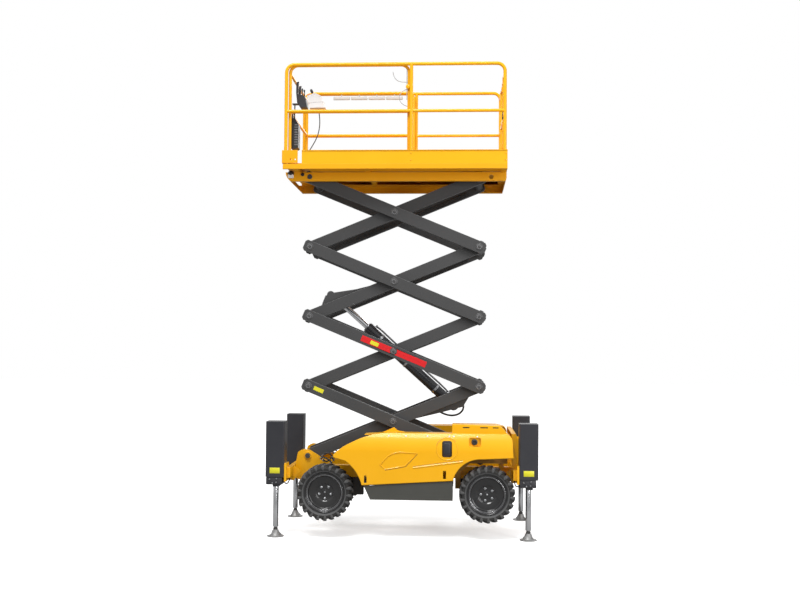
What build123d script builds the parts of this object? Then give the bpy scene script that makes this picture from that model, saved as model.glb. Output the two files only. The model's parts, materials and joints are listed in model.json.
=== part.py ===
"""Rough-terrain scissor lift standing on its four levelling jacks.

Millimetres, +Z up, origin on the floor under the middle of the jacks. The steered axle and the sliding deck
extension point to -X, the ladder and the gate to +X, and the machine is mirrored about the XZ plane.
"""

from build123d import *
from math import atan2, cos, degrees, hypot, radians, sin, tan
import os

os.makedirs("parts", exist_ok=True)

# Scissor: four stages of crossed arms, hinged at the left, sliding at the right.
ARM_LENGTH = 2220.0
ARM_ANGLE = 22.3
STAGES = 4
LEFT_X = -1150.0
BASE_PIVOT_Z = 912.0
ARM_DEPTH = 140.0
INNER_Y = (320.0, 380.0)
OUTER_Y = (400.0, 460.0)
PIN_R = 30.0
PIN_GAP = 0.3

# Rollers on the sliding ends of the lowest and highest arms, and the inside height of their guide channels.
ROLLER_R = 41.0
ROLLER_Y = (474.0, 504.0)
TRACK_HALF = 43.0
RISE = ARM_LENGTH * sin(radians(ARM_ANGLE))
SPAN = ARM_LENGTH * cos(radians(ARM_ANGLE))
RIGHT_X = LEFT_X + SPAN
TOP_PIVOT_Z = BASE_PIVOT_Z + STAGES * RISE

# Lift cylinder: base pin on the first inner arm, rod eye on the third, as (along, off) the arm's centre line.
BASE_PIN = (1847.0, -108.0)
EYE_PIN = (326.0, 153.0)

# Wheels and axles.
FRONT_AXLE_X = -893.0
REAR_AXLE_X = 997.0
WHEEL_Z = 525.0
TYRE_R = 325.0
WHEEL_Y = 750.0
KINGPIN_Y = 600.0
HUB_FACE_Y = 781.7

# Levelling jacks.
JACK_X = 1475.0
JACK_Y = 760.0
JACK_BOX = 220.0
JACK_BOX_Z = (701.0, 1346.0)

# Side cowls: skin, top, the arc between them, and the hinge along the top edge.
COWL_Y = 882.0
COWL_TOP = 1228.0
COWL_BEND_Z = 1010.0
COWL_BEND_R = 346.4
COWL_HINGE = (797.0, 1216.0)
COWL_HINGE_R = 4.0
COWL_HINGE_X = (0.0, 1060.0)

# Work platform.
DECK_X = (-1440.0, 1215.0)
DECK_TOP = 4400.0
DECK_PLATE = 5.0
DECK_HALF = 765.0
BEAM_Z = 4228.0
BEAM_WEB_Y = (510.0, 528.0)
TOE_TOP = 4560.0
RAIL_Y = 746.0
TOE_Y = (773.0, 779.0)
RAIL_R = 21.0
TOP_RAIL_Z = 5597.0
MID_RAIL_Z = 5033.0


def block(x, y, z):
    """Box between the two values of each pair."""
    size = (abs(x[1] - x[0]), abs(y[1] - y[0]), abs(z[1] - z[0]))
    return Pos((x[0] + x[1]) / 2, (y[0] + y[1]) / 2, (z[0] + z[1]) / 2) * Box(*size)


def side_plate(points, y):
    """Flat plate with an outline of (x, z) points, between two values of y."""
    face = make_face(Polyline(*[(px, 0, pz) for px, pz in points], close=True))
    return Pos(0, min(y), 0) * extrude(face, amount=abs(y[1] - y[0]), dir=(0, 1, 0))


def shaft(x, z, radius, y):
    """Round bar along Y between two values of y."""
    bar = Rot(90, 0, 0) * Cylinder(radius, abs(y[1] - y[0]))
    return Pos(x, (y[0] + y[1]) / 2, z) * bar


def post(x, y, radius, z):
    """Round bar along Z between two values of z."""
    return Pos(x, y, (z[0] + z[1]) / 2) * Cylinder(radius, abs(z[1] - z[0]))


def mirrored(solid):
    """The solid and its twin on the other side of the machine."""
    return solid + mirror(solid, Plane.XZ)


def bent_tube(points, bend, radius):
    """Round tube along a run of points with one bend radius at every corner."""
    path = FilletPolyline(*points, radius=bend) if len(points) > 2 else Line(*points)
    section = Plane(origin=path @ 0, z_dir=path % 0) * Circle(radius)
    return sweep(section, path=path)


def save(name, solid):
    solid.label = name
    export_step(solid, f"parts/{name}.step")


def arm_place(start_x, start_z, direction):
    """Moves a piece drawn along +X from the origin onto an arm that starts at a joint and leans up or down."""
    return Pos(start_x, 0, start_z) * Rot(0, -direction * ARM_ANGLE, 0)


def arm_tube(y):
    """One arm tube from pin to pin, its ends cut off square with bevelled corners."""
    overhang = 75.0
    bevel = 25.0
    low, high = -overhang, ARM_LENGTH + overhang
    half = ARM_DEPTH / 2
    outline = [
        (low + bevel, -half),
        (high - bevel, -half),
        (high, -half + bevel),
        (high, half - bevel),
        (high - bevel, half),
        (low + bevel, half),
        (low, half - bevel),
        (low, -half + bevel),
    ]
    return side_plate(outline, y)


def ring_boss(along, y):
    """Raised round boss of a hinge between two values of y."""
    return shaft(along, 0, 48.0, y)


def inner_arm(stage):
    """Pair of inner tubes joined by the hinge sleeves in which the outer arms' shafts turn."""
    boss_out = INNER_Y[1] + 8.0
    sleeve_r = 48.0
    body = mirrored(arm_tube(INNER_Y))
    for along in (0.0, ARM_LENGTH / 2, ARM_LENGTH):
        body += mirrored(ring_boss(along, (INNER_Y[0], boss_out)))
    for along in (0.0, ARM_LENGTH):
        body += shaft(along, 0, sleeve_r, (-INNER_Y[1], INNER_Y[1]))
    first, last = stage == 1, stage == STAGES
    if first:
        body += shaft(0, 0, PIN_R, (-455.0, 455.0))
    if last:
        body += mirrored(shaft(ARM_LENGTH, 0, PIN_R, (INNER_Y[1], ROLLER_Y[1])))
    bores = [ARM_LENGTH / 2]
    if not first:
        bores.append(0.0)
    if not last:
        bores.append(ARM_LENGTH)
    for along in bores:
        body -= shaft(along, 0, PIN_R + PIN_GAP, (-500.0, 500.0))
    return body


def outer_arm(stage):
    """Pair of outer tubes joined by the shafts that turn in the inner arms' sleeves."""
    boss_in = OUTER_Y[0] - 8.0
    cap = OUTER_Y[1] + 6.0
    body = mirrored(arm_tube(OUTER_Y))
    first, last = stage == 1, stage == STAGES
    for along in (0.0, ARM_LENGTH / 2, ARM_LENGTH):
        body += mirrored(ring_boss(along, (boss_in, OUTER_Y[1])))
        body += mirrored(shaft(along, 0, 40.0, (OUTER_Y[1], cap)))
    centre = shaft(ARM_LENGTH / 2, 0, PIN_R, (INNER_Y[0], OUTER_Y[1]))
    body += mirrored(centre)
    through = (-OUTER_Y[1], OUTER_Y[1])
    if first:
        body += shaft(0, 0, PIN_R, through)
        body += mirrored(shaft(ARM_LENGTH, 0, PIN_R, (OUTER_Y[1], ROLLER_Y[1])))
        body += shaft(ARM_LENGTH, 0, PIN_R, through)
    elif last:
        body += shaft(ARM_LENGTH, 0, PIN_R, through)
        body += shaft(0, 0, PIN_R, (-534.0, 534.0))
    else:
        body += shaft(0, 0, PIN_R, through)
        body += shaft(ARM_LENGTH, 0, PIN_R, through)
    return body


def gusset(points, pin):
    """Plates inside the two arm tubes with a boss facing the cylinder's cross pin."""
    plate = side_plate(points, (290.0, 314.0))
    start = min(p[0] for p in points)
    end = max(p[0] for p in points)
    spacer = [(start, -40.0), (end, -40.0), (end, 40.0), (start, 40.0)]
    plate += side_plate(spacer, (312.0, INNER_Y[0]))
    plate += shaft(pin[0], pin[1], 46.0, (290.0, 314.0))
    return mirrored(plate)


def rollers(x, z):
    """Pair of rollers on the ends of a shaft, one running in the guide channel on each side."""
    return mirrored(shaft(x, z, ROLLER_R, ROLLER_Y))


def build_arms():
    for stage in range(1, STAGES + 1):
        bottom = BASE_PIVOT_Z + (stage - 1) * RISE
        inner = inner_arm(stage)
        outer = outer_arm(stage)
        if stage == 1:
            base_plate = [(1301.0, -40.0), (1301.0, -63.0), (1669.0, -118.0), (1954.0, -154.0), (2086.0, -56.0),
                          (2086.0, 40.0), (1301.0, 40.0)]
            inner += gusset(base_plate, BASE_PIN)
        if stage == 3:
            eye_plate = [(150.0, 40.0), (193.0, 96.0), (262.0, 168.0), (368.0, 164.0), (643.0, 98.0), (919.0, 60.0),
                         (919.0, -40.0), (150.0, -40.0)]
            inner += gusset(eye_plate, EYE_PIN)
        inner_placed = arm_place(LEFT_X, bottom, 1) * inner
        outer_placed = arm_place(LEFT_X, bottom + RISE, -1) * outer
        if stage == 1:
            outer_placed += rollers(RIGHT_X, BASE_PIVOT_Z)
        if stage == STAGES:
            inner_placed += rollers(RIGHT_X, TOP_PIVOT_Z)
        save(f"inner_arm_{stage}", inner_placed)
        save(f"outer_arm_{stage}", outer_placed)


def arm_point(stage, along, off):
    """Place in the machine of a point given along and off an inner arm."""
    a = radians(ARM_ANGLE)
    x = LEFT_X + along * cos(a) - off * sin(a)
    z = BASE_PIVOT_Z + (stage - 1) * RISE + along * sin(a) + off * cos(a)
    return x, z


def build_cylinder():
    """Lift cylinder: a barrel closed by its head, and a rod whose piston stays inside over the whole stroke."""
    base = arm_point(1, *BASE_PIN)
    eye = arm_point(3, *EYE_PIN)
    length = hypot(eye[0] - base[0], eye[1] - base[1])
    lean = degrees(atan2(eye[1] - base[1], eye[0] - base[0]))
    place = Pos(base[0], 0, base[1]) * Rot(0, -lean, 0)
    barrel_x = (50.0, 1440.0)
    barrel_r = 62.0
    bore_r = 48.0
    bore_start = 60.0
    head = 40.0
    collar = 60.0
    rod_r = 36.0
    piston_x = (465.0, 505.0)
    cross_y = 284.0

    def along(radius, x):
        return Pos((x[0] + x[1]) / 2, 0, 0) * Rot(0, 90, 0) * Cylinder(radius, x[1] - x[0])

    barrel = along(barrel_r, barrel_x)
    barrel += along(barrel_r + 8.0, (barrel_x[1] - collar, barrel_x[1]))
    barrel += shaft(0, 0, barrel_r, (-60.0, 60.0))
    barrel += shaft(0, 0, 32.0, (-cross_y, cross_y))
    barrel -= along(bore_r, (bore_start, barrel_x[1] - head))
    barrel -= along(rod_r + PIN_GAP, (barrel_x[1] - head - 1.0, barrel_x[1] + 1.0))
    save("cylinder_barrel", place * barrel)

    rod = along(rod_r, (piston_x[0], length - 30.0))
    rod += along(bore_r - PIN_GAP, piston_x)
    rod += shaft(length, 0, 45.0, (-50.0, 50.0))
    rod += shaft(length, 0, 30.0, (-cross_y, cross_y))
    save("cylinder_rod", place * rod)


def build_chassis():
    """Box rails with the brackets of the lowest hinge, cross tubes and end beams, and the rollers' guides."""
    rail_y = (280.0, 400.0)
    rail_z = (660.0, 800.0)
    beam_x = (1300.0, 1350.0)
    bracket = [
        (-1298.0, 760.0),
        (-1298.0, 812.0),
        (-1271.0, 953.0),
        (-1234.0, 978.0),
        (-1198.0, 990.0),
        (-1125.0, 979.0),
        (-1027.0, 920.0),
        (-905.0, 838.0),
        (-820.0, 808.0),
        (-820.0, 739.0),
        (-1122.0, 739.0),
        (-1242.0, 624.0),
        (-1298.0, 640.0),
    ]
    rails = mirrored(block((-beam_x[0], beam_x[0]), rail_y, rail_z))
    rails += mirrored(side_plate(bracket, (398.0, 424.0)))
    rails += mirrored(shaft(LEFT_X, BASE_PIVOT_Z, 46.0, (396.0, 432.0)))
    rails -= shaft(LEFT_X, BASE_PIVOT_Z, PIN_R + PIN_GAP, (-500.0, 500.0))
    save("frame_rails", rails)

    cross = Part()
    for x in (-600.0, 150.0, 700.0):
        cross += block((x - 50.0, x + 50.0), (-rail_y[0], rail_y[0]), (rail_z[0] + 20.0, rail_z[1] - 20.0))
    for end in (-1, 1):
        beam = block((end * beam_x[0], end * beam_x[1]), (-820.0, 820.0), (690.0, 810.0))
        beam += mirrored(block((end * 1340.0, end * 1365.0), (660.0, 866.0), (650.0, 860.0)))
        lug = block((end * 1345.0, end * 1420.0), (500.0, 516.0), (635.0, 760.0))
        lug -= shaft(end * 1385.0, 665.0, 18.0, (480.0, 540.0))
        gusset_outline = [
            (end * 1211.0, 747.0),
            (end * 1293.0, 632.0),
            (end * 1420.0, 645.0),
            (end * 1408.0, 730.0),
            (end * 1400.0, 806.0),
            (end * 1300.0, 806.0),
        ]
        cross += beam + mirrored(lug) + mirrored(side_plate(gusset_outline, (562.0, 584.0)))
    save("cross_members", cross)

    guide_x = (-240.0, 1210.0)
    flange_y = (470.0, 524.0)
    flange = 12.0
    web_y = (512.0, flange_y[1])
    track_z = (BASE_PIVOT_Z - TRACK_HALF, BASE_PIVOT_Z + TRACK_HALF)
    guide = block(guide_x, web_y, (track_z[0] - flange, track_z[1] + flange))
    guide += block(guide_x, flange_y, (track_z[0] - flange, track_z[0]))
    guide += block(guide_x, flange_y, (track_z[1], track_z[1] + flange))
    for x in (-200.0, 480.0, 1170.0):
        guide += block((x - 30.0, x + 30.0), (rail_y[1], flange_y[1]), (rail_z[0] + 30.0, rail_z[1] + 5.0))
        guide += block((x - 30.0, x + 30.0), (flange_y[0] + 4.0, flange_y[1]), (rail_z[1], track_z[0] - flange))
    save("slide_guides", mirrored(guide))


def build_axles():
    """Rigid axles under the rails, the steered one with forks that hold the knuckles on their kingpins."""
    fork_x = (FRONT_AXLE_X - 45.0, FRONT_AXLE_X + 45.0)
    fork_y = (KINGPIN_Y - 100.0, KINGPIN_Y + 40.0)
    pin_r = 20.0
    front = block((FRONT_AXLE_X - 60.0, FRONT_AXLE_X + 60.0), (-510.0, 510.0), (470.0, 580.0))
    front += mirrored(block((FRONT_AXLE_X - 70.0, FRONT_AXLE_X + 70.0), (290.0, 390.0), (575.0, 660.0)))
    for z in ((425.0, 450.0), (600.0, 625.0)):
        front += mirrored(block(fork_x, fork_y, z))
    front += mirrored(block(fork_x, (fork_y[0], fork_y[0] + 25.0), (425.0, 625.0)))
    for z in ((450.0, 470.0), (580.0, 600.0)):
        front += mirrored(post(FRONT_AXLE_X, KINGPIN_Y, pin_r, z))
    save("front_axle", front)

    rear = block((REAR_AXLE_X - 65.0, REAR_AXLE_X + 65.0), (-500.0, 500.0), (465.0, 585.0))
    rear += mirrored(block((REAR_AXLE_X - 80.0, REAR_AXLE_X + 80.0), (290.0, 390.0), (580.0, 660.0)))
    rear += mirrored(shaft(REAR_AXLE_X, WHEEL_Z, 115.0, (500.0, 640.0)))
    rear += mirrored(shaft(REAR_AXLE_X, WHEEL_Z, 75.0, (640.0, HUB_FACE_Y)))
    save("rear_axle", rear)

    # The tie rod's pins sit behind the kingpins, a little further in, below the knuckle arms.
    pin_x = 165.0
    pin_in = 28.0
    arm_z = (500.0, 524.0)
    tie_pin_r = 15.0
    for name, side in (("right", -1), ("left", 1)):
        knuckle = post(FRONT_AXLE_X, side * KINGPIN_Y, 48.0, (456.0, 594.0))
        knuckle += shaft(FRONT_AXLE_X, WHEEL_Z, 60.0, (side * KINGPIN_Y, side * 700.0))
        knuckle += shaft(FRONT_AXLE_X, WHEEL_Z, 90.0, (side * 700.0, side * HUB_FACE_Y))
        for z in ((455.0, 470.5), (579.5, 595.0)):
            knuckle -= post(FRONT_AXLE_X, side * KINGPIN_Y, pin_r + PIN_GAP, z)
        arm = [(0.0, -36.0), (pin_x, -44.0), (pin_x, -12.0), (0.0, 36.0)]
        outline = Polyline(*[(FRONT_AXLE_X + ax, side * (KINGPIN_Y + ay)) for ax, ay in arm], close=True)
        knuckle += Pos(0, 0, arm_z[0]) * extrude(make_face(outline), amount=arm_z[1] - arm_z[0], dir=(0, 0, 1))
        pin_place = (FRONT_AXLE_X + pin_x, side * (KINGPIN_Y - pin_in))
        knuckle += post(*pin_place, 22.0, arm_z)
        knuckle -= post(*pin_place, tie_pin_r + PIN_GAP, (arm_z[0] - 1.0, arm_z[1] + 1.0))
        save(f"knuckle_{name}", knuckle)
    tie_y = KINGPIN_Y - pin_in
    tie_x = FRONT_AXLE_X + pin_x
    tie = shaft(tie_x, 484.0, 11.0, (-tie_y + 5.0, tie_y - 5.0))
    tie += post(tie_x, tie_y, tie_pin_r, (468.0, arm_z[1]))
    tie += post(tie_x, -tie_y, tie_pin_r, (468.0, arm_z[0] - 2.0))
    save("tie_rod", tie)


def rim_profile():
    """Half section of the rim, as (radius, y) from the wheel's middle plane, outer face to +y."""
    return [
        (0.0, 48.0), (70.0, 48.0), (80.0, 60.0), (178.0, 60.0), (190.0, 72.0), (196.0, 104.0), (222.0, 118.0),
        (233.0, 118.0), (233.0, 108.0), (213.8, 104.0), (213.8, 80.0), (200.0, 50.0), (200.0, -60.0),
        (213.8, -80.0), (213.8, -104.0), (233.0, -108.0), (233.0, -118.0), (222.0, -118.0), (192.0, -60.0),
        (190.0, 40.0), (178.0, 44.0), (80.0, 44.0), (70.0, 32.0), (0.0, 32.0),
    ]


def rim(side):
    outline = Polyline(*[(r, side * y, 0) for r, y in rim_profile()], close=True)
    return revolve(make_face(outline), Axis.Y)


def tyre(side):
    """Carcass of straight facets, one to each lug, with two staggered rows of angled lugs."""
    lugs = 22
    sides = 2 * lugs
    # (radius, y) of the carcass sections from one bead to the other
    half = [(214.0, -103.0), (236.0, -106.0), (250.0, -138.0), (284.0, -146.0), (303.0, -110.0)]
    sections = half + [(r, -y) for r, y in reversed(half)]
    rings = []
    for r, y in sections:
        ring = Plane(origin=(0, y, 0), z_dir=(0, 1, 0)) * RegularPolygon(r, sides)
        rings.append(ring.wire())
    carcass = Solid.make_loft(rings, ruled=True)
    carcass = Part() + carcass
    carcass -= Rot(90, 0, 0) * Cylinder(214.0, 400.0)
    pitch = 360.0 / lugs
    for row, shift in ((-1, 0.0), (1, pitch / 2)):
        for n in range(lugs):
            lug = Pos(0, row * 76.0, (TYRE_R + 288.0) / 2) * Rot(0, 0, row * 22.0) * Box(38.0, 146.0, TYRE_R - 288.0)
            carcass += Rot(0, n * pitch + shift, 0) * lug
    return carcass


def build_wheels():
    rubber = tyre(1)
    for name, x in (("front", FRONT_AXLE_X), ("rear", REAR_AXLE_X)):
        for hand, side in (("right", -1), ("left", 1)):
            place = Pos(x, side * WHEEL_Y, WHEEL_Z)
            save(f"rim_{name}_{hand}", place * rim(side))
            save(f"tyre_{name}_{hand}", place * rubber)


def build_jacks():
    wall = 6.0
    half = JACK_BOX / 2
    low, high = JACK_BOX_Z
    boxes = Part()
    for end in (-1, 1):
        for side in (-1, 1):
            cx, cy = end * JACK_X, side * JACK_Y
            cover = Box(JACK_BOX, JACK_BOX, high - low)
            cover = chamfer(cover.edges().filter_by(Axis.Z), 12.0)
            cover = Pos(cx, cy, (low + high) / 2) * cover
            inside_x = (cx - half + wall, cx + half - wall)
            inside_y = (cy - half + wall, cy + half - wall)
            cover -= block(inside_x, inside_y, (low - 1.0, high - wall))
            cover += block((cx - half + 3, cx + half - 3), (cy - 20.0, cy + 20.0), (low + 20.0, low + 60.0))
            cover += post(cx, cy, 50.0, (620.0, high - 3.0))
            cover += block((cx - 70.0, cx + 70.0), (cy - 62.0, cy + 62.0), (625.0, 690.0))
            cover -= post(cx, cy, 33.0, (600.0, high - 20.0))
            boxes += cover
            leg = post(cx, cy, 32.5, (100.0, 905.0))
            leg += Pos(cx, cy, 92.0) * Sphere(38.0)
            pad = [(0.0, 0.0), (100.0, 0.0), (100.0, 10.0), (88.0, 22.0), (52.0, 55.0), (46.0, 86.0), (0.0, 86.0)]
            foot = revolve(make_face(Polyline(*[(r, 0, z) for r, z in pad], close=True)), Axis.Z)
            leg += Pos(cx, cy, 0) * foot
            name = ("front" if end < 0 else "rear") + ("_right" if side < 0 else "_left")
            save(f"jack_leg_{name}", leg)
    save("jack_boxes", boxes)


def cowl_layer(depth, outline_inset, y_in, rounding=0.0):
    """A side cowl as a full solid: its side outline crossed with its bent section, both drawn in from the skin."""
    edges = [
        ThreePointArc((-792.0, 0, 968.0), (-706.0, 0, 1043.0), (-587.0, 0, 1110.0)),
        ThreePointArc((-587.0, 0, 1110.0), (-393.0, 0, 1188.0), (-134.0, 0, COWL_TOP)),
        Line((-134.0, 0, COWL_TOP), (1202.0, 0, COWL_TOP)),
        ThreePointArc((1202.0, 0, COWL_TOP), (1252.0, 0, 1207.0), (1286.0, 0, 1160.0)),
        Line((1286.0, 0, 1160.0), (1300.0, 0, 953.0)),
        Line((1300.0, 0, 953.0), (936.0, 0, 934.0)),
        ThreePointArc((936.0, 0, 934.0), (715.0, 0, 863.0), (600.0, 0, 684.0)),
        Line((600.0, 0, 684.0), (-456.0, 0, 620.0)),
        ThreePointArc((-456.0, 0, 620.0), (-525.0, 0, 770.0), (-651.0, 0, 899.0)),
        Line((-651.0, 0, 899.0), (-791.0, 0, 938.0)),
        Line((-791.0, 0, 938.0), (-792.0, 0, 968.0)),
    ]
    face = make_face(edges)
    if outline_inset:
        face = offset(face, amount=-outline_inset)
    slab = Pos(0, y_in, 0) * extrude(face, amount=COWL_Y - depth - y_in, dir=(0, 1, 0))
    if rounding:
        slab = fillet(slab.faces().sort_by(Axis.Y)[-1].edges(), rounding)
    return slab & cowl_section(depth, y_in)


def cowl_section(depth, y_in):
    """The cowl's section along the whole machine: upright below, then one arc up to the flat top."""
    radius = COWL_BEND_R - depth
    centre_y = COWL_Y - COWL_BEND_R
    top = COWL_TOP - depth
    rise = top - 4.0 - COWL_BEND_Z
    end_y = centre_y + (radius**2 - rise**2) ** 0.5
    half = atan2(rise, end_y - centre_y) / 2
    middle = (0, centre_y + radius * cos(half), COWL_BEND_Z + radius * sin(half))
    skin = COWL_Y - depth
    edges = [
        Line((0, y_in, 400.0), (0, skin, 400.0)),
        Line((0, skin, 400.0), (0, skin, COWL_BEND_Z)),
        ThreePointArc((0, skin, COWL_BEND_Z), middle, (0, end_y, top - 4.0)),
        Line((0, end_y, top - 4.0), (0, end_y - 12.0, top)),
        Line((0, end_y - 12.0, top), (0, y_in, top)),
        Line((0, y_in, top), (0, y_in, 400.0)),
    ]
    return Pos(-1500.0, 0, 0) * extrude(make_face(edges), amount=3000.0, dir=(1, 0, 0))


def bar_x(x, y, z, radius):
    """Round bar along X between two values of x."""
    return Pos((x[0] + x[1]) / 2, y, z) * Rot(0, 90, 0) * Cylinder(radius, x[1] - x[0])


def rounded_slab(x, z, y, corner):
    """Upright rectangle with rounded corners, between two values of y."""
    slab = block(x, y, z)
    return fillet(slab.edges().filter_by(Axis.Y), corner)


def side_door():
    """Left cowl: a thin tray with embossed recesses that hangs on two sleeves along its top edge."""
    wall = 8.0
    lip_y = 836.0
    hinge_lip_y = 806.0
    door = cowl_layer(0.0, 0.0, 700.0, rounding=9.0) - cowl_layer(wall, wall, 690.0)
    door -= block((-2000.0, 2000.0), (600.0, lip_y), (400.0, 1150.0))
    door -= block((-2000.0, 2000.0), (600.0, hinge_lip_y), (1100.0, 1300.0))

    # Embossing, to one depth below the skin.
    skin = cowl_section(0.0, 700.0) - cowl_section(2.5, 690.0)
    panel = [(-243.0, 859.0), (-184.0, 808.0), (47.0, 851.0), (185.0, 996.0), (-12.0, 1011.0), (-151.0, 963.0)]
    crease = [(140.0, 826.0), (337.0, 854.0), (567.0, 885.0), (717.0, 903.0),
              (717.0, 909.0), (567.0, 891.0), (337.0, 860.0), (140.0, 832.0)]
    ring = shaft(532.0, 1046.0, 125.0, (780.0, 900.0)) - shaft(532.0, 1046.0, 120.0, (780.0, 900.0))
    for sunk in (side_plate(panel, (780.0, 900.0)), side_plate(crease, (780.0, 900.0)), ring):
        door -= sunk & skin

    # Cups behind the latch and the filler cap: (x, z, floor y, corner radius).
    cup_wall = 5.0
    for x, z, floor, corner in (
        ((474.0, 590.0), (953.0, 1143.0), 836.0, 28.0),
        ((785.0, 924.0), (1077.0, 1181.0), 812.0, 24.0),
    ):
        outer_x = (x[0] - cup_wall, x[1] + cup_wall)
        outer_z = (z[0] - cup_wall, z[1] + cup_wall)
        cup = rounded_slab(outer_x, outer_z, (floor, 900.0), corner + cup_wall)
        door += cup & cowl_section(4.0, 700.0)
        door -= rounded_slab(x, z, (floor + cup_wall, 900.0), corner)
    for x, z in (((487.0, 522.0), (708.0, 799.0)), ((-428.0, -398.0), (649.0, 735.0))):
        door -= rounded_slab(x, z, (800.0, 900.0), 8.0)

    sleeve = (COWL_HINGE_R + PIN_GAP, COWL_HINGE_R + 5.0)
    for x in COWL_HINGE_X:
        reach = (x - 25.0, x + 25.0)
        door += bar_x(reach, *COWL_HINGE, sleeve[1])
        door += block(reach, (COWL_HINGE[0] + 4.0, hinge_lip_y + 4.0), (COWL_HINGE[1], COWL_HINGE[1] + 6.0))
        door -= bar_x((x - 26.0, x + 26.0), *COWL_HINGE, sleeve[0])
    return door


def hood_top():
    """Left fixed top: a shelf with a wall down beside the scissor, a louvred cover on it and the hinge pins."""
    inner_y, edge_y = 566.0, 786.0
    shelf = [
        (-433.0, 1196.0), (-433.0, 1204.0), (-134.0, 1222.0), (1240.0, 1222.0), (1264.0, 1202.0), (1280.0, 1165.0),
        (1280.0, 1150.0), (1272.0, 1150.0), (1257.0, 1196.0), (1237.0, 1214.0), (-134.0, 1214.0)]
    top = side_plate(shelf, (inner_y, edge_y))
    wall = [(-400.0, 880.0), (-400.0, 1201.0), (-134.0, 1218.0), (1225.0, 1218.0), (1225.0, 960.0), (560.0, 960.0),
            (560.0, 880.0)]
    top += side_plate(wall, (inner_y, inner_y + 8.0))

    cover = side_plate(
        [(588.0, 1218.0), (588.0, 1330.0), (1146.0, 1316.0), (1200.0, 1268.0), (1234.0, 1218.0)], (578.0, 770.0))
    cover = chamfer(cover.edges().filter_by_position(Axis.Z, 1225.0, 1400.0), 6.0)
    cover -= side_plate(
        [(594.0, 1200.0), (594.0, 1323.0), (1143.0, 1310.0), (1195.0, 1264.0), (1226.0, 1218.0), (1226.0, 1200.0)],
        (585.0, 763.0))
    for louvre in ((712.0, 791.0), (916.0, 1006.0), (1062.0, 1130.0)):
        cover -= rounded_slab(louvre, (1286.0, 1299.0), (740.0, 800.0), 5.0)
    top += cover

    # Rest for the lowest arms, and the pins on which the side cowl swings.
    top += side_plate([(-238.0, 1214.0), (-101.0, 1274.0), (-59.0, 1237.0), (60.0, 1218.0)], (inner_y, inner_y + 8.0))
    for x in COWL_HINGE_X:
        top -= block((x - 34.0, x + 34.0), (COWL_HINGE[0] - 14.0, edge_y + 1.0), (1200.0, 1230.0))
        top += bar_x((x - 45.0, x + 45.0), *COWL_HINGE, COWL_HINGE_R)
        for end in (x - 45.0, x + 31.0):
            lug = block((end, end + 14.0), (edge_y - 4.0, COWL_HINGE[0] + 2.0), (1214.0, 1221.0))
            top += lug
    return top


def arch_liner(axle_x, wall, wall_y, arc):
    """Left wheel arch: an upright inner wall and a bent sheet round the wheel between two angles."""
    sheet_r = (447.0, 452.0)
    liner = side_plate(wall, (wall_y, wall_y + 6.0))
    angles = [radians(a) for a in (arc[0], (arc[0] + arc[1]) / 2, arc[1])]
    near, far = [[(axle_x + r * cos(a), 0, WHEEL_Z + r * sin(a)) for a in angles] for r in sheet_r]
    sheet = make_face([ThreePointArc(*near), Line(near[-1], far[-1]), ThreePointArc(*far), Line(far[0], near[0])])
    return liner + Pos(0, wall_y, 0) * extrude(sheet, amount=829.0 - wall_y, dir=(0, 1, 0))


def build_body():
    door = side_door()
    save("side_door_left", door)
    save("side_door_right", mirror(door, Plane.XZ))
    save("hood_tops", mirrored(hood_top()))
    front_wall = [(-800.0, 880.0), (-800.0, 942.0), (-640.0, 942.0), (-480.0, 820.0), (-448.0, 640.0), (-520.0, 700.0),
                  (-600.0, 840.0)]
    rear_wall = [(626.0, 560.0), (626.0, 860.0), (760.0, 935.0), (1240.0, 935.0), (1240.0, 860.0), (800.0, 860.0),
                 (690.0, 760.0), (690.0, 560.0)]
    liners = arch_liner(FRONT_AXLE_X, front_wall, 428.0, (18.0, 76.0))
    liners += arch_liner(REAR_AXLE_X, rear_wall, 575.0, (98.0, 156.0))
    save("arch_liners", mirrored(liners))

    sill = side_plate([(-434.0, 614.0), (-358.0, 455.0), (600.0, 455.0), (600.0, 677.0)], (470.0, 866.0))
    sill -= side_plate([(-424.0, 640.0), (-352.0, 461.0), (594.0, 461.0), (594.0, 700.0)], (400.0, 860.0))
    save("sills", mirrored(sill))
    engine = block((-100.0, 560.0), (590.0, 770.0), (700.0, 1120.0))
    save("engine_block", engine)
    manifold = mirrored(block((-600.0, -480.0), (300.0, 404.0), (450.0, 655.0)))
    save("manifolds", manifold)

    half = 640.0
    rear = side_plate([(1286.0, 814.0), (1374.0, 814.0), (1374.0, 936.0), (1368.0, 1134.0), (1338.0, 1216.0),
                       (1286.0, 1216.0)], (-half, half))
    rear -= side_plate([(1280.0, 800.0), (1368.0, 800.0), (1368.0, 936.0), (1362.0, 1133.0), (1334.0, 1210.0),
                        (1280.0, 1210.0)], (6.0 - half, half - 6.0))
    save("rear_cover", rear)

    ladder = mirrored(block((1440.0, 1470.0), (190.0, 222.0), (640.0, 1240.0)))
    for z in (700.0, 960.0, 1220.0):
        ladder += block((1435.0, 1475.0), (-192.0, 192.0), (z - 12.0, z + 12.0))
    for start, z in ((1374.5, 860.0), (1370.5, 1100.0)):
        ladder += mirrored(block((start, 1445.0), (195.0, 217.0), (z - 20.0, z + 20.0)))
    save("ladder", ladder)


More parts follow.
